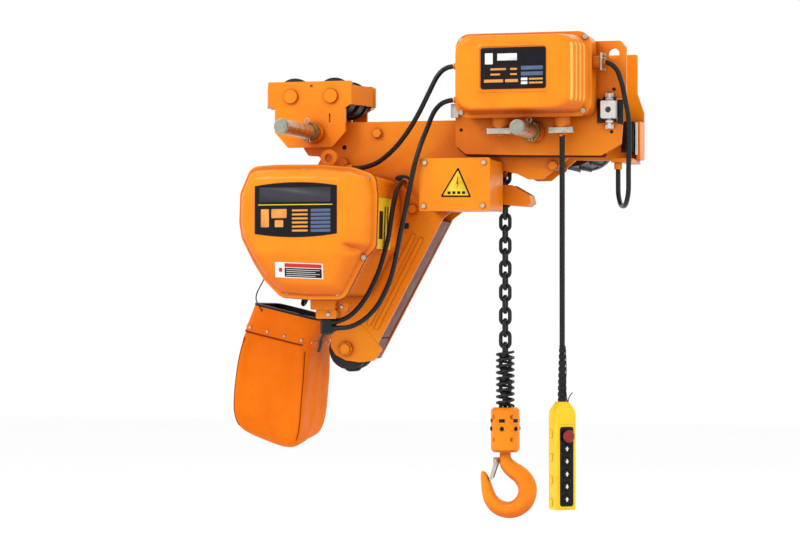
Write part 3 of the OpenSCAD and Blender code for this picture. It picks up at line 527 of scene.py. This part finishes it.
def control_cover():
    rings = [placed(rounded_rect((x0, x1), (z0, z1), r), y) for x0, x1, z0, z1, r, y in COVER_ROWS]
    add("cover_of_controls", loft("cover", rings), MATERIALS["orange_paint"], "frame",
        ["control_cover"])
    ribs = []
    for y, x in ((-208, 184.5), (-197, 190), (-184, 195), (-170, 199.5)):
        rows = [(6, 0.2), (8, 0.75), (12, 1), (116, 1), (120, 0.75), (122, 0.2)]
        rings = []
        for z, s in rows:
            rings.append([
                mm(x - 2 + 4.8 * s * math.cos(a), y + 2.2 * s * math.sin(a), z)
                for a in (math.radians(12 + 360 * k / 14) for k in range(14))
            ])
        ribs.append(loft("rib", rings))
    # The ribs carry a painted highlight in the lighter ridge colour.
    add("ribs_of_controls", joined("ribs", ribs), RIDGE_HIGHLIGHT_PAINT, "frame")


control_cover()

# ---- Hoist cover ----

HOIST_OUTLINE = [
    (-466, -117), (-414, -114), (-316, -115), (-252, -121), (-206, -136), (-202, -178), (-205, -281),
    (-225, -299), (-270, -384), (-342, -384), (-403, -379), (-438, -344), (-460, -310), (-486, -260),
    (-491, -228), (-489, -170),
]
DOME_ROWS = [
    (10, -240.2), (0.4, -240.2), (0, -241), (0, -244.8), (1.2, -246), (6.8, -246.2), (8, -247.4), (8.6, -251),
    (10, -260), (12, -268), (15, -274.5), (19, -279.4), (23.5, -282.7), (28, -284.3), (33, -285),
    (38, -285.2),
]
CREASE_Z = -286
CREASE_X = -266
FRONT_Y = -285.2


def slope_back(z):
    """How far the lower part of the cover's front lies behind the upper part."""
    below = max(0.0, CREASE_Z - z)
    return 0.26 * (below - 5 * (1 - math.exp(-below / 5)))


def side_back(x):
    """How far the right part of the cover's front lies behind the middle."""
    past = max(0.0, x - CREASE_X)
    return 0.3 * (past - 4 * (1 - math.exp(-past / 4)))


def hoist_cover():
    rows = []
    for inset, y in DOME_ROWS:
        r = max(24 - 0.35 * inset, 10)
        rows.append([(x, y, z) for x, z in rounded_outline(HOIST_OUTLINE, inset, r, side=14)])
    last = rows[-1]
    centre = (sum(p[0] for p in last) / len(last), sum(p[2] for p in last) / len(last))
    for part in (0.96, 0.92, 0.88, 0.84, 0.8, 0.76, 0.72, 0.66, 0.6, 0.5, 0.4, 0.3, 0.2, 0.1, 0.02):
        rows.append([(centre[0] + (x - centre[0]) * part, y, centre[1] + (z - centre[1]) * part) for x, y,
                     z in last])
    rings = []
    for row in rows:
        ring = []
        for x, y, z in row:
            front = min(1.0, max(0.0, (-246.5 - y) / 36))
            hollow = 9 * math.exp(-((x + 243) / 18) ** 4 - ((z + 283 + 0.2 * (x + 243)) / 7) ** 2)
            ring.append(mm(x, y + front * (slope_back(z) + side_back(x) + hollow), z))
        rings.append(ring)
    mesh = loft("hoist_dome", rings)
    add("cover_of_hoist", mesh, MATERIALS["orange_paint"], "frame", ["hoist_cover"], 40)


hoist_cover()


def seal():
    rows = [(2.5, -239.9), (-0.6, -239.4), (-0.9, -238.6), (-0.6, -237.8), (2.5, -237.6)]
    rings = [placed(rounded_outline(HOIST_OUTLINE, inset, 24), y) for inset, y in rows]
    add("seal_of_hoist", loft("seal", rings, False, False), MATERIALS["black_rubber"], "frame")


seal()

# ---- Labels ----


def plates(name, outlines, y, thick, material, replaced=(), turn=None):
    """Flat plates standing proud of y by their thickness."""
    made = []
    for points in outlines:
        mid = [sum(v) / len(points) for v in zip(*points)]
        inner = [(mid[0] + (x - mid[0]) * 0.995, mid[1] + (z - mid[1]) * 0.995) for x, z in points]
        made.append(loft(name, [placed(points, y), placed(points, y - thick * 0.7),
                                placed(inner, y - thick)]))
    mesh = joined(name, made)
    if turn:
        mesh.transform(turn)
    return add(name, mesh, material, "frame", replaced, 30)


def bar(x0, x1, z0, z1, r=0.8):
    return rounded_rect((x0, x1), (z0, z1), min(r, (z1 - z0) / 2.01, (x1 - x0) / 2.01), 3)


def barrel(x, z, bow, steps=14):
    """A rectangle whose long sides bulge."""
    out = []
    for k in range(steps + 1):
        t = k / steps
        out.append((x[0] + (x[1] - x[0]) * t, z[1] + bow * (1 - (2 * t - 1) ** 2)))
    for k in range(steps + 1):
        t = 1 - k / steps
        out.append((x[0] + (x[1] - x[0]) * t, z[0] - bow * (1 - (2 * t - 1) ** 2)))
    return out


def control_label():
    y = -215.7
    plates("label_controls", [rounded_rect((2, 134), (31, 113), 5)], y, 0.7, MATERIALS["label_black"],
           ["labels"])
    y -= 0.7
    plates("bars_controls_a", [bar(11, 27, 80, 102), bar(36, 76, 87, 101)], y, 0.15, LABEL_WHITE)
    rows = [bar(22, 54, 68, 72), bar(62, 76, 68, 72), bar(22, 42, 58, 61.5), bar(62, 76, 58, 61.5),
            bar(9, 48, 44, 50), bar(52, 78, 44, 50), bar(100, 128, 48, 51.5), bar(100, 128, 40.5, 44)]
    plates("bars_controls_b", rows, y, 0.15, LABEL_ORANGE)
    plates("bars_controls_c", [bar(84, 128, 68, 75.5), bar(84, 128, 56.5, 64)], y, 0.15, LABEL_GREY)
    plates("bars_controls_d", [bar(84, 97, 47, 52.5), bar(84, 97, 39.5, 45)], y, 0.15, LABEL_WHITE)


def hoist_label():
    y = FRONT_Y
    plates("label_hoist", [barrel((-444, -273), (-253, -158), 7)], y, 0.8, MATERIALS["label_black"])
    y -= 0.8
    plates("band_hoist", [bar(-434, -286, -190, -161, 2)], y, 0.12, LABEL_DARK)
    plates("line_hoist", [bar(-437, -282, -196.4, -194.6, 0.4)], y, 0.15, LABEL_YELLOW)
    rows = [bar(-431, -414, -240, -204, 1.5), bar(-409, -377, -222, -204, 1.5),
            bar(-402, -384, -240, -226, 1.5)]
    rows += [bar(-366, -333, -205 - 8 * k - 4, -205 - 8 * k) for k in range(6)]
    plates("bars_hoist_a", rows, y, 0.15, LABEL_ORANGE)
    plates("bars_hoist_b", [bar(-327, -286, -204 - 8 * k - 6, -204 - 8 * k) for k in range(6)], y, 0.15,
           LABEL_GREY)


def sticker():
    """The sticker on the sloping lower part of the hoist's cover."""
    middle = mm(-354, FRONT_Y + slope_back(-326) - 0.25, -326)
    lean = math.atan(0.26)
    turn = Matrix.Translation(middle) @ Matrix.Rotation(lean, 4, "X") @ Matrix.Rotation(math.radians(2.5),
                                                                                        4, "Y")
    plates("sticker_base", [bar(-50, 50, -16, 16, 1.5)], 0, 0.35, LABEL_WHITE, (), turn)
    plates("sticker_red", [bar(-30, 47, 6, 14), bar(-42, -35, -4, 4, 1)], -0.35, 0.12, LABEL_RED,
           (), turn)
    plates("sticker_black", [bar(-30, 47, -14, 4.6)], -0.35, 0.12, MATERIALS["label_black"],
           (), turn)
    lines = [bar(-27, 43 - 9 * (k % 2), 1.6 - 4 * k - 1.1, 1.6 - 4 * k, 0.4) for k in range(4)]
    plates("sticker_lines", lines, -0.47, 0.1, LABEL_WHITE, (), turn)


def limit_label():
    y = -160
    outer = [(-58, -118), (-31, -179), (-95, -178)]
    mid = [sum(v) / 3 for v in zip(*outer)]
    inner = [(mid[0] + (x - mid[0]) * 0.84, mid[1] + (z - mid[1]) * 0.84) for x, z in outer]
    plates("triangle_limit", [rounded_outline(outer, 0, 2, 3, 2)], y, 0.4, MATERIALS["label_black"])
    plates("triangle_limit_in", [rounded_outline(inner, 0, 1.5, 3, 2)], y - 0.4, 0.1, LABEL_YELLOW)
    marks = [bar(-80 + 10 * k, -73.5 + 10 * k, -172.5, -167, 0.6) for k in range(4)]
    plates("marks_limit", marks, y - 0.5, 0.1, MATERIALS["label_black"])
    bolt = [(-59.5, -138), (-57, -138), (-59, -148), (-56.5, -148), (-60.5, -162), (-59.8, -152), (-62, -152)]
    plates("bolt_limit", [bolt], y - 0.5, 0.1, LABEL_RED)


control_label()
hoist_label()
sticker()
limit_label()

# ---- Bag ----

# Middle in X, Y and Z, tilt round Y, tilt round X, half width, half depth and corner radius
BAG_ROWS = [
    (-457, -12, -448.6, 13.4, 0, 68, 79.4, 16), (-460, -12, -458.2, 13.4, 0, 69, 79.6, 16),
    (-464, -12, -464.6, 13.4, 0, 71, 81.4, 15), (-467, -12, -470, 13.3, 0, 73, 83.6, 13),
    (-471, -12, -484, 13, 0, 75.5, 85, 10), (-476, -12.5, -517, 12.2, 0.5, 77.5, 86.4, 8),
    (-480.5, -13, -552, 11, 1, 78.5, 87, 8), (-484, -13.5, -586, 10, 2, 79, 87, 9),
    (-486, -14, -616, 10, 4, 78, 85, 11), (-487, -15, -640, 11.5, 6, 73, 79, 15),
    (-488, -16, -654, 13.5, 8, 62, 69, 18), (-489, -16.5, -662, 15.5, 9, 47, 54, 18),
    (-490, -17, -665.5, 16, 10, 28, 36, 14), (-490, -17, -667.5, 16, 10, 9, 13, 6),
]
BAG_PINNED = 4


def bag_ring(row):
    x, y, z, tilt, lean, half_w, half_d, r = row
    turn = Matrix.Rotation(math.radians(tilt), 3, "Y") @ Matrix.Rotation(math.radians(lean), 3, "X")
    points = []
    corners = [(half_w - r, half_d - r, 0), (r - half_w, half_d - r, 90), (r - half_w, r - half_d, 180),
               (half_w - r, r - half_d, 270)]
    arcs = [[(cx + r * math.cos(math.radians(a + 90 * k / 6)),
              cy + r * math.sin(math.radians(a + 90 * k / 6)))
             for k in range(7)] for cx, cy, a in corners]
    for k in range(4):
        points += arcs[k]
        a, b = Vector(arcs[k][-1]), Vector(arcs[(k + 1) % 4][0])
        points += [a.lerp(b, (t + 1) / 15) for t in range(14)]
    return [mm(x, y, z) + turn @ mm(p[0], p[1], 0) for p in points]


def bag_rings():
    rows = []
    for i in range(len(BAG_ROWS) - 1):
        a, b, c, d = (BAG_ROWS[min(max(k, 0), len(BAG_ROWS) - 1)] for k in (i - 1, i, i + 1, i + 2))
        steps = max(1, round(abs(c[2] - b[2]) / 5))
        for j in range(steps):
            rows.append([between(*v, j / steps) for v in zip(a, b, c, d)])
    return [bag_ring(row) for row in rows + [list(BAG_ROWS[-1])]]


def bag_fold(p):
    """How far a point of the bag moves outwards: slack folds, puckers under the hem and a few dents."""
    down = (-0.455 - p.z) / 0.2
    side = noise.noise(Vector((p.x * 9, p.y * 9, p.z * 4)))
    fine = noise.noise(Vector((p.x * 34 + 5, p.y * 34, p.z * 13)))
    pucker = math.sin((p.x + p.y) * 205) * math.exp(-down * 5)
    return (2.6 * side * min(1, down * 2) + 0.9 * fine + 0.5 * pucker) * MM


def soften_bag(bag):
    """Lets the cloth hang from its pinned hem, with a little pressure from the chain in it."""
    pins = bag.vertex_groups.new(name="pins")
    per_ring = len(bag_ring(BAG_ROWS[0]))
    pins.add(list(range(per_ring * BAG_PINNED)), 1.0, "REPLACE")
    cloth_mod = bag.modifiers.new("cloth", "CLOTH")
    values = cloth_mod.settings
    values.quality = 8
    values.mass = 0.6
    values.vertex_group_mass = "pins"
    values.tension_stiffness = values.compression_stiffness = 40
    values.shear_stiffness = 12
    values.bending_stiffness = 6
    values.shrink_min = -0.012
    values.use_pressure = True
    values.uniform_pressure_force = 1.6
    values.effector_weights.gravity = 0.5
    cloth_mod.collision_settings.use_self_collision = False
    scene = bpy.context.scene
    before = [v.co.copy() for v in bag.data.vertices]
    for step in range(1, 19):
        scene.frame_set(step)
    shown = bag.evaluated_get(bpy.context.evaluated_depsgraph_get())
    after = [v.co.copy() for v in shown.data.vertices]
    bag.modifiers.remove(cloth_mod)
    scene.frame_set(1)
    for v, a, b in zip(bag.data.vertices, before, after):
        move = b - a
        v.co = a + move * min(1.0, 0.008 / max(move.length, 1e-9))


def chain_bag():
    rings = bag_rings()
    mesh = loft("bag", rings, False, True)
    bag = bpy.data.objects.new("bag_cloth", mesh)
    bpy.context.collection.objects.link(bag)
    mesh.materials.append(MATERIALS["orange_fabric"])
    soften_bag(bag)
    made = bmesh.new()
    made.from_mesh(mesh)
    made.normal_update()
    shifts = [bag_fold(v.co) for v in made.verts]
    made.verts.ensure_lookup_table()
    for v, shift in zip(made.verts, shifts):
        v.co += v.normal * shift
    made.to_mesh(mesh)
    made.free()
    mesh.shade_smooth()
    bag.modifiers.new("finer", "SUBSURF").render_levels = 1
    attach(bag, "frame")
    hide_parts("chain_bag")
    seams = []
    per_ring = len(rings[0])
    for corner in (2, 23, 44, 65):
        line = [mesh.vertices[ring * per_ring + corner + 1].co.copy() for ring in range(5, len(rings) - 6)]
        seams.append(loft("seam", tube_rings(line, [1.1 * MM] * len(line), 8, Vector((1, 0, 0)))))
    seam = add("bag_seams", joined("seams", seams), SEAM_AND_SHADOW, "frame")


chain_bag()

# ---- Bag collar ----


def on_collar(points):
    turn = Matrix.Translation(mm(-450, -12, -435)) @ Matrix.Rotation(math.radians(13.4), 4, "Y")
    return [turn @ mm(x - 0.15 * (29 - z), y, z) for x, y, z in points]


def collar_ring(half_w, half_d, r, z):
    return [(x, y, z) for x, y in rounded_rect((-half_w, half_w), (-half_d, half_d), r)]


def bag_collar():
    rows = [
        (68.6, 80.6, 18, 24), (68.6, 80.6, 18, -27), (70, 82, 19, -29.4), (71, 83, 20, -28.4),
        (71.3, 83.3, 20, -20),
        (71.2, 83.2, 20, 10), (71, 83, 20, 26),
    ]
    rings = [on_collar(collar_ring(*row)) for row in rows]
    add("collar_of_bag", loft("collar", rings, False, False), MATERIALS["orange_fabric"], "frame",
        ["bag_collar"], 50)
    # Painted shadow: a thin dark ring along the collar's lower edge, where it overhangs the bag.
    rows = [(69.4, 81.4, 18, -26), (70, 82, 18, -31), (70.8, 82.8, 18.5, -32), (71.4, 83.4, 19, -31),
            (70.6, 82.6, 19, -28)]
    rings = [on_collar(collar_ring(*row)) for row in rows]
    add("shadow_under_collar", loft("hem", rings, False, False), SEAM_AND_SHADOW, "frame", (), 50)
    rows = [
        (66.8, 78.8, 17, 14), (66.8, 78.8, 17, 30.5), (68.5, 80.5, 18, 31.4), (71.6, 83.6, 20, 31),
        (72.2, 84.2, 20, 29),
        (71.8, 83.8, 20, 26.5),
    ]
    rings = [on_collar(collar_ring(*row)) for row in rows]
    add("edge_of_bag", loft("edge", rings, False, False), MATERIALS["black_rubber"], "frame",
        (), 50)


def rivets():
    made = []
    turn = Matrix.Rotation(math.radians(13.4), 3, "Y")
    places = [((x, side * 83.2, -21), (0, side, 0)) for side in (-1, 1) for x in (-58, -20, 18, 56)]
    places += [((side * 71.2, y, -21), (side, 0, 0)) for side in (-1, 1) for y in (-62, -32, 0, 32, 62)]
    for place, way in places:
        at = on_collar([place])[0] / MM
        profile = [(-0.5, 3.6), (0.6, 3.6), (1.6, 3.0), (2.3, 1.9), (2.6, 0.5)]
        made.append(turned("rivet", at, profile, turn @ Vector(way), 18))
    add("rivets_of_bag", joined("rivets", made), MATERIALS["zinc_steel"], "frame",
        ["bag_rivets"], 50)


bag_collar()
rivets()
WIRE_OF_BAG = [(-466, -150, -332), (-474, -146, -346), (-488, -138, -366), (-496, -124, -382),
               (-496, -104, -396),
               (-492, -92, -410)]
wire("bag_wire", WIRE_OF_BAG, 1.3, MATERIALS["black_rubber"], "frame")

# ---- Hook ----

# X, Z, half thickness and half depth along the hook
HOOK_ROWS = [
    (0, -694.2, 11.2, 11.2), (0, -699, 11.4, 11.2), (0, -706, 12, 12), (4, -718, 15, 13), (16, -730, 17, 14),
    (32, -741, 18, 15), (44, -757, 19, 15.5), (47, -775, 19, 16), (40, -794, 19, 16), (24, -808, 18, 16),
    (4, -812, 17, 15.5), (-16, -806, 16, 15), (-30, -792, 14.5, 13.5), (-37, -774, 12.5, 12),
    (-41, -756, 10, 10),
    (-45, -742, 7, 7.5), (-47, -736, 4.2, 5), (-47.8, -733.6, 1.4, 1.8),
]
BOWL_MIDDLE = (2, -770)


def hook():
    flat = [Vector(row) for row in HOOK_ROWS]
    rows = smooth(flat, 6)
    sides = 28
    rings = []
    for i, row in enumerate(rows):
        p = Vector((row[0], 0, row[1])) * MM
        after, before = rows[min(i + 1, len(rows) - 1)], rows[max(i - 1, 0)]
        along = Vector((after[0] - before[0], 0, after[1] - before[1])).normalized()
        out = along.cross(Vector((0, 1, 0))).normalized()
        inner = Vector((BOWL_MIDDLE[0] * MM, 0, BOWL_MIDDLE[1] * MM)) - p
        toward = 1 if out.dot(inner) > 0 else -1
        bend = min(1.0, max(0.0, (-0.708 - p.z) / 0.02))
        ring = []
        for k in range(sides):
            a = 2 * math.pi * k / sides
            c, s = math.cos(a), math.sin(a)
            depth = row[3] * s * (1 + 0.16 * bend * toward * c)
            reach = row[2] * c * (1 + 0.05 * bend * abs(s))
            ring.append(p + out * reach * MM + Vector((0, depth * MM, 0)))
        rings.append(ring)
    add("hook_forging", loft("hook", rings), MATERIALS["orange_paint"], "hook", ["hook"], 60)
    rows = [(0, 3.4), (1.5, 3.4), (2.2, 2.4), (23.8, 2.4), (24.5, 3.4), (26, 3.4)]
    pin = turned("pin", (-18, 13, -712), rows, sides=16)
    lug = boxes("lug", [((-25, -6), (-4, 4), (-717, -705))], 2)
    add("hook_pin", pin, MATERIALS["zinc_steel"], "hook")
    add("hook_lug", lug, MATERIALS["orange_paint"], "hook")


hook()

# ---- Shafts ----


def shaft_parts(name, at, tip, pin_y):
    """End disc, brass nut and split pin of a suspension shaft."""
    x, z = at
    disc = turned("disc", (x, tip, z), [(-1, 13), (0.2, 13), (0.7, 12.4), (0.7, 9), (0.2, 8.4), (0.2, 1)],
                  sides=40)
    add(name + "_disc", disc, SHAFT_END, "frame")
    rows = [(0, 15.8), (0, 19), (1.4, 20), (8.6, 20), (10, 19), (10, 15.8)]
    add(name + "_ring", turned("ring", (x, pin_y + 18, z), rows, sides=40), BRASS, "frame")
    bends = [(0, -20), (-1.6, 0), (-1.6, 17), (-5, 22), (0, 27), (5, 22), (1.6, 17), (1.6, 0), (6, -21)]
    hoop = [(x + dx, pin_y, z + dz) for dx, dz in bends]
    wire(name + "_pin", hoop, 1.3, MATERIALS["zinc_steel"], "frame")


shaft_parts("left_shaft", (-384, -40), -304, -132)
shaft_parts("right_shaft", (80, -46), -236, -128)

# ---- Casing's side label ----


def side_label():
    """A narrow label on the hoist body's right side, which leans a little."""
    def strip(y, z, out):
        low, high = (mm(-210.4 + 2.9 * (height + 178) / 104 + out, 0, height) for height in z)
        front, back = (mm(0, depth, 0) for depth in y)
        return [low + front, low + back, high + back, high + front]

    def mark(y, z):
        return loft("mark", [strip(y, z, out) for out in (0, 0.2)])

    rows = [strip((-206, -113), (-282, -179), out) for out in (-0.6, 0)]
    add("label_side", loft("strip", rows), LABEL_YELLOW, "frame", (), 20)
    marks = [mark((-196, -170), (-262, -206)), mark((-160, -152), (-270, -196)),
             mark((-140, -132), (-270, -196))]
    add("label_side_marks", joined("strip_marks", marks), MATERIALS["label_black"], "frame",
        (), 20)


side_label()

# ---- Frame trim ----


def flat_plate(name, corners, r, y, material):
    """A plate between two depths, from an outline whose corners go clockwise."""
    rows = [(0.6, y[0]), (0, y[0] + 0.6), (0, y[1])]
    rings = [placed(rounded_outline(corners, inset, max(r - inset, 0.5), 5, 1), depth) for inset,
             depth in rows]
    add(name, loft(name, rings), material, "frame", (), 30)


def frame_trim():
    foot = [(-361, -436), (-290, -436), (-250, -485), (-268, -508), (-298, -512), (-328, -508),
            (-350, -497), (-361, -480)]
    flat_plate("foot_of_frame", foot, 5, (-42.7, -36.5), MATERIALS["orange_paint"])
    # Painted shade: a dark red web fills the gap between the frame's plates.
    web = [(-262, -462), (-256, -462), (-276, -504), (-282, -504)]
    flat_plate("shaded_web_of_frame", web, 0.8, (-35.5, 35.5), SHADE_RED_PAINT)
    # Painted shadow: a dark red plate behind the front drive plate shows below its lower edge.
    under = [(-80, -60), (225, -60), (225, -99), (60, -96), (-63, -92), (-82, -76)]
    flat_plate("shade_of_plate", under, 3, (-73.5, -68), SHADE_RED_PAINT)


frame_trim()

# ---- Hook block ----


def hook_block_parts():
    bolts, slots = [], []
    for k in range(6):
        a = math.radians(60 * k - 90)
        way = Vector((math.cos(a), math.sin(a), 0))
        at = way * 28.6
        bolts.append(turned("bolt", (at.x, at.y, -646), [(-1, 4.6), (2.2, 4.6), (3, 3.8), (3, 2),
                                                         (1.8, 1.8)], way, 6))
        turn = Matrix.Rotation(a + math.pi / 2, 4, "Z")
        slots.append(moved(boxes("slot", [((-6, 6), (-29.9, -28), (-633, -626))], 0.6), turn))
    add("hook_block_bolts", joined("bolts", bolts), MATERIALS["black_plastic"], "hook_run",
        (), 30)
    # Painted shade: black patches stand for the dark insides of the block's slots.
    add("hook_block_slot_shade", joined("slots", slots), MATERIALS["black_plastic"], "hook_run",
        (), 30)


hook_block_parts()

# ---- Pendant ----

PENDANT = Matrix.Translation(mm(146, -122, 0)) @ Matrix.Rotation(math.radians(40), 4, "Z")
STOP_Z = -654
BUTTON_PITCH = 25


def on_pendant(name, mesh, material, body="pendant", replaced=(), smooth_angle=35):
    return add(name, moved(mesh, PENDANT), material, body, replaced, smooth_angle)


def flat_ring(half_w, half_d, r, z):
    return [mm(x, y, z) for x, y in rounded_rect((-half_w, half_w), (-half_d, half_d), r)]


def pendant_housing():
    rows = [
        (18, 13, 5, -801), (22, 17, 6, -800.4), (23, 18, 6, -797), (23, 18, 6, -700), (23, 18, 6, -612),
        (22.6, 17.6, 6, -606), (20, 16.4, 6, -600), (15, 13.4, 6, -592), (12.6, 12, 6, -588),
        (11.6, 11, 6, -586.4),
        (9, 9, 5, -586),
    ]
    on_pendant("housing_of_pendant", loft("housing", [flat_ring(*row) for row in rows]),
               MATERIALS["yellow_plastic"],
               replaced=["pendant_housing"])
    rows = [(18.5, 632, 797, -17.6), (18.5, 632, 797, -19.2), (17.4, 633.2, 795.8, -19.8),
            (15.6, 635, 794, -19.8),
            (15, 635.8, 793.2, -19), (15, 635.8, 793.2, -17.6)]
    rings = [placed(rounded_rect((-w, w), (-low, -high), 5), y) for w, high, low, y in rows]
    on_pendant("frame_of_panel", loft("rim", rings, False, False), MATERIALS["yellow_plastic"])
    panel = [placed(rounded_rect((-15, 15), (-793.2, -635.8), 5), y) for y in (-17.8, -18.4)]
    on_pendant("panel_of_pendant", loft("panel", panel), MATERIALS["black_plastic"])
    rows = [(0, 10.4), (1.4, 10.4), (2, 9.8), (2, 9), (0.4, 8.8)]
    rings = [turned("button_ring", (0, -18.2, STOP_Z - BUTTON_PITCH * k), rows) for k in range(1, 6)]
    on_pendant("rings_of_buttons", joined("rings", rings), MATERIALS["black_plastic"])
    clips = [((side * 21.5 if side > 0 else -25.4, 25.4 if side > 0 else -21.5), (-3.5, 5.5), (z - 7, z + 7))
             for side in (-1, 1) for z in (-650, -696, -742, -786)]
    on_pendant("clips_of_pendant", boxes("clips", clips, 1), MATERIALS["yellow_plastic"])


def buttons():
    for k in range(1, 6):
        z = STOP_Z - BUTTON_PITCH * k
        rows = [(-12, 5.8), (1.4, 5.8), (1.4, 8.4), (3.4, 8.4), (4.3, 7.6), (4.7, 5.4), (4.4, 2), (4.3, 0.2)]
        on_pendant(f"push_{k}", turned("push", (0, -16.4, z), rows, sides=28), MATERIALS["black_plastic"],
                   f"button_{k}", [f"button_{k}"])
        shape = [(0, 5.2), (4.4, -0.6), (1.8, -0.6), (1.8, -4.8), (-1.8, -4.8), (-1.8, -0.6), (-4.4, -0.6)]
        if k in (2, 4):
            shape = [(x, -v) for x, v in shape]
        mark = [placed([(x * 0.9, z + v * 0.9) for x, v in shape], y) for y in (-20.4, -21.3)]
        on_pendant(f"push_mark_{k}", loft("mark", mark), LABEL_WHITE, f"button_{k}", (), 20)
    rows = [(-12, 5.8), (2, 5.8), (2, 8.6), (9, 8.8), (10, 11.4), (11.4, 12.3), (13.6, 12.2), (15.6, 10.6),
            (16.9, 7.4),
            (17.4, 3.6), (17.5, 0.2)]
    on_pendant("stop_knob", turned("knob", (0, -16.4, STOP_Z), rows, sides=36), MATERIALS["red_plastic"],
               "stop_button", ["stop_button"], 50)


def boot():
    rows = [(-586, 8.6), (-587.5, 9.6)]
    for k in range(9):
        top = -582 + 12.5 * k
        r = 9.4 - 0.34 * k
        rows += [(top - 4.5, r), (top + 1.4, r), (top + 2.6, r - 1.5), (top + 6, r - 1.5),
                 (top + 7.2, r - 0.1)]
    rows = [(d, r) for d, r in sorted(rows) if d < -476] + [(-475.4, 6.6), (-475, 5.7)]
    mesh = turned("boot", (146, -122, 0), rows, (0, 0, 1), 28)
    add("boot_of_pendant", mesh, MATERIALS["black_rubber"], "pendant", ["pendant_boot"], 30)
    line = [(153, -125, -476), (155, -126, -520), (154, -126, -560), (158, -127, -586), (162, -127, -575),
            (168, -127, -568)]
    wire("strain_wire", line, 1.0, MATERIALS["black_rubber"], "pendant")


pendant_housing()
buttons()
boot()

# ---- Small parts ----


def gland_parts():
    rows = [(0, 13.2), (2, 14.4), (6, 14.4), (8, 13.6), (26, 13.4), (29.5, 13.3), (31, 11), (34, 6)]
    sleeve = turned("sleeve", (-326, -180, -421.5), rows, (0, 0, -1), 28)
    boots = [turned("boot", (-318, -180, z), [(-1, 7.4), (2, 8), (9, 7.2), (13, 5.6)], (1, 0, 0), 20)
             for z in (-441, -428)]
    add("sleeve_of_glands", joined("sleeves", [sleeve] + boots), MATERIALS["black_rubber"], "frame")
    strap = [(-330, -178, -448), (-338, -168, -456), (-346, -156, -466), (-351, -146, -478),
             (-358, -134, -488)]
    wire("strap_of_bag", strap, 3.4, MATERIALS["black_rubber"], "frame")
    screws = [turned("screw", (-318, -198, -413), [(-0.5, 4.6), (1.4, 4.6), (2.4, 3.6), (2.6, 0.4)],
                     sides=20),
              turned("screw", (-293, -188, -398), [(-0.5, 4), (1.4, 4), (2.4, 3), (2.6, 0.4)], sides=20)]
    add("screws_of_glands", joined("screws", screws), MATERIALS["zinc_steel"], "frame")
    nuts = []
    for z in (87, 19):
        nuts.append(turned("nut", (-62.2, -120, z), [(0, 11.4), (4.4, 11.4)], (-1, 0, 0), 6))
    add("nuts_of_cables", joined("nuts", nuts), MATERIALS["zinc_steel"], "frame", (), 20)
    blocks = [((221, 249), (-90, -83), (14, 21)), ((221, 249), (-90, -83), (-30, -23)),
              ((209, 221), (-84, -78), (-30, 18)), ((250, 262), (-84, -78), (-32, 16)),
              ((236, 262), (24, 68), (-84, -20))]
    add("rubber_of_guide", boxes("rubber", blocks, 1), MATERIALS["black_rubber"], "frame")
    add("strip_of_plate", boxes("strip", [((264, 269), (30, 34), (-88, -22))], 0.8),
        MATERIALS["white_plastic"], "frame")
    # Painted shade: black discs stand for the dark insides of holes in the plates.
    plugs = [turned("plug", (x, y, z), [(-1, r), (0.4, r), (0.6, 0.3)], sides=20)
             for x, y, z, r in ((-332, -40, -68, 5), (238, -80, -48, 3.5), (-72, -80, -39, 3.5),
                                (243, -80, 37, 3.5))]
    add("shade_in_holes", joined("plugs", plugs), MATERIALS["black_plastic"], "frame")
    bars = [((x - 25, x + 25), (-139, -135.5), (-52, -40)) for x in (20, 146)]
    add("clamp_bars", boxes("bars", bars, 0.8), MATERIALS["zinc_steel"], "frame")
    clips = [turned("clip", (-207, -43.5, -133), [(-2, 12), (1, 12), (2.4, 10), (2.6, 1)], sides=24)]
    clips[0].transform(Matrix.Translation(mm(-207, 0, -133)) @ Matrix.Diagonal((1.25, 1, 0.5, 1))
                       @ Matrix.Translation(mm(207, 0, 133)))
    clips.append(boxes("clip", [((-197, -188), (-66, -58), (-238, -226))], 1))
    add("clips_of_cables", joined("clips", clips), MATERIALS["black_rubber"], "frame")


gland_parts()

# ---- Floor and light ----


def make_stage():
    mesh = bpy.data.meshes.new("floor")
    size = 9.0
    z = cad_box[0].z - 0.16
    mesh.from_pydata([(-size, -size, z), (size, -size, z), (size, size, z), (-size, size, z)], [],
                     [(0, 1, 2, 3)])
    floor = bpy.data.objects.new("floor", mesh)
    bpy.context.collection.objects.link(floor)
    m = Mat("floor")
    m.set(m.shader, {"Base Color": m.mix(m.noise(2), (0.98, 0.98, 0.98), (0.96, 0.96, 0.96)),
                     "Roughness": 0.9})
    mesh.materials.append(m.mat)
    floor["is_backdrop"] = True
    world = bpy.data.worlds.new("studio")
    bpy.context.scene.world = world
    world.use_nodes = True
    world.node_tree.nodes["Background"].inputs["Color"].default_value = (1, 1, 1, 1)
    world.node_tree.nodes["Background"].inputs["Strength"].default_value = 1.0
    bpy.context.scene.view_settings.view_transform = "Standard"


def area_light(name, place, target, size, power):
    data = bpy.data.lights.new(name, "AREA")
    data.size = size
    data.energy = power
    light = bpy.data.objects.new(name, data)
    light.location = place
    light.rotation_mode = "QUATERNION"
    light.rotation_quaternion = (Vector(target) - Vector(place)).to_track_quat("-Z", "Y")
    bpy.context.collection.objects.link(light)


make_stage()
area_light("key", (-1.8, -2.8, 1.9), (-0.1, 0, -0.3), 0.9, 38)
area_light("fill", (2.4, -2.0, 0.3), (0, 0, -0.3), 1.6, 6)
area_light("back", (0.5, 2.4, 1.8), (0, 0, -0.3), 1.5, 10)

boxes = {"cad": cad_box, "visual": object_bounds()}
{name: [list(corner) for corner in box] for name, box in boxes.items()}
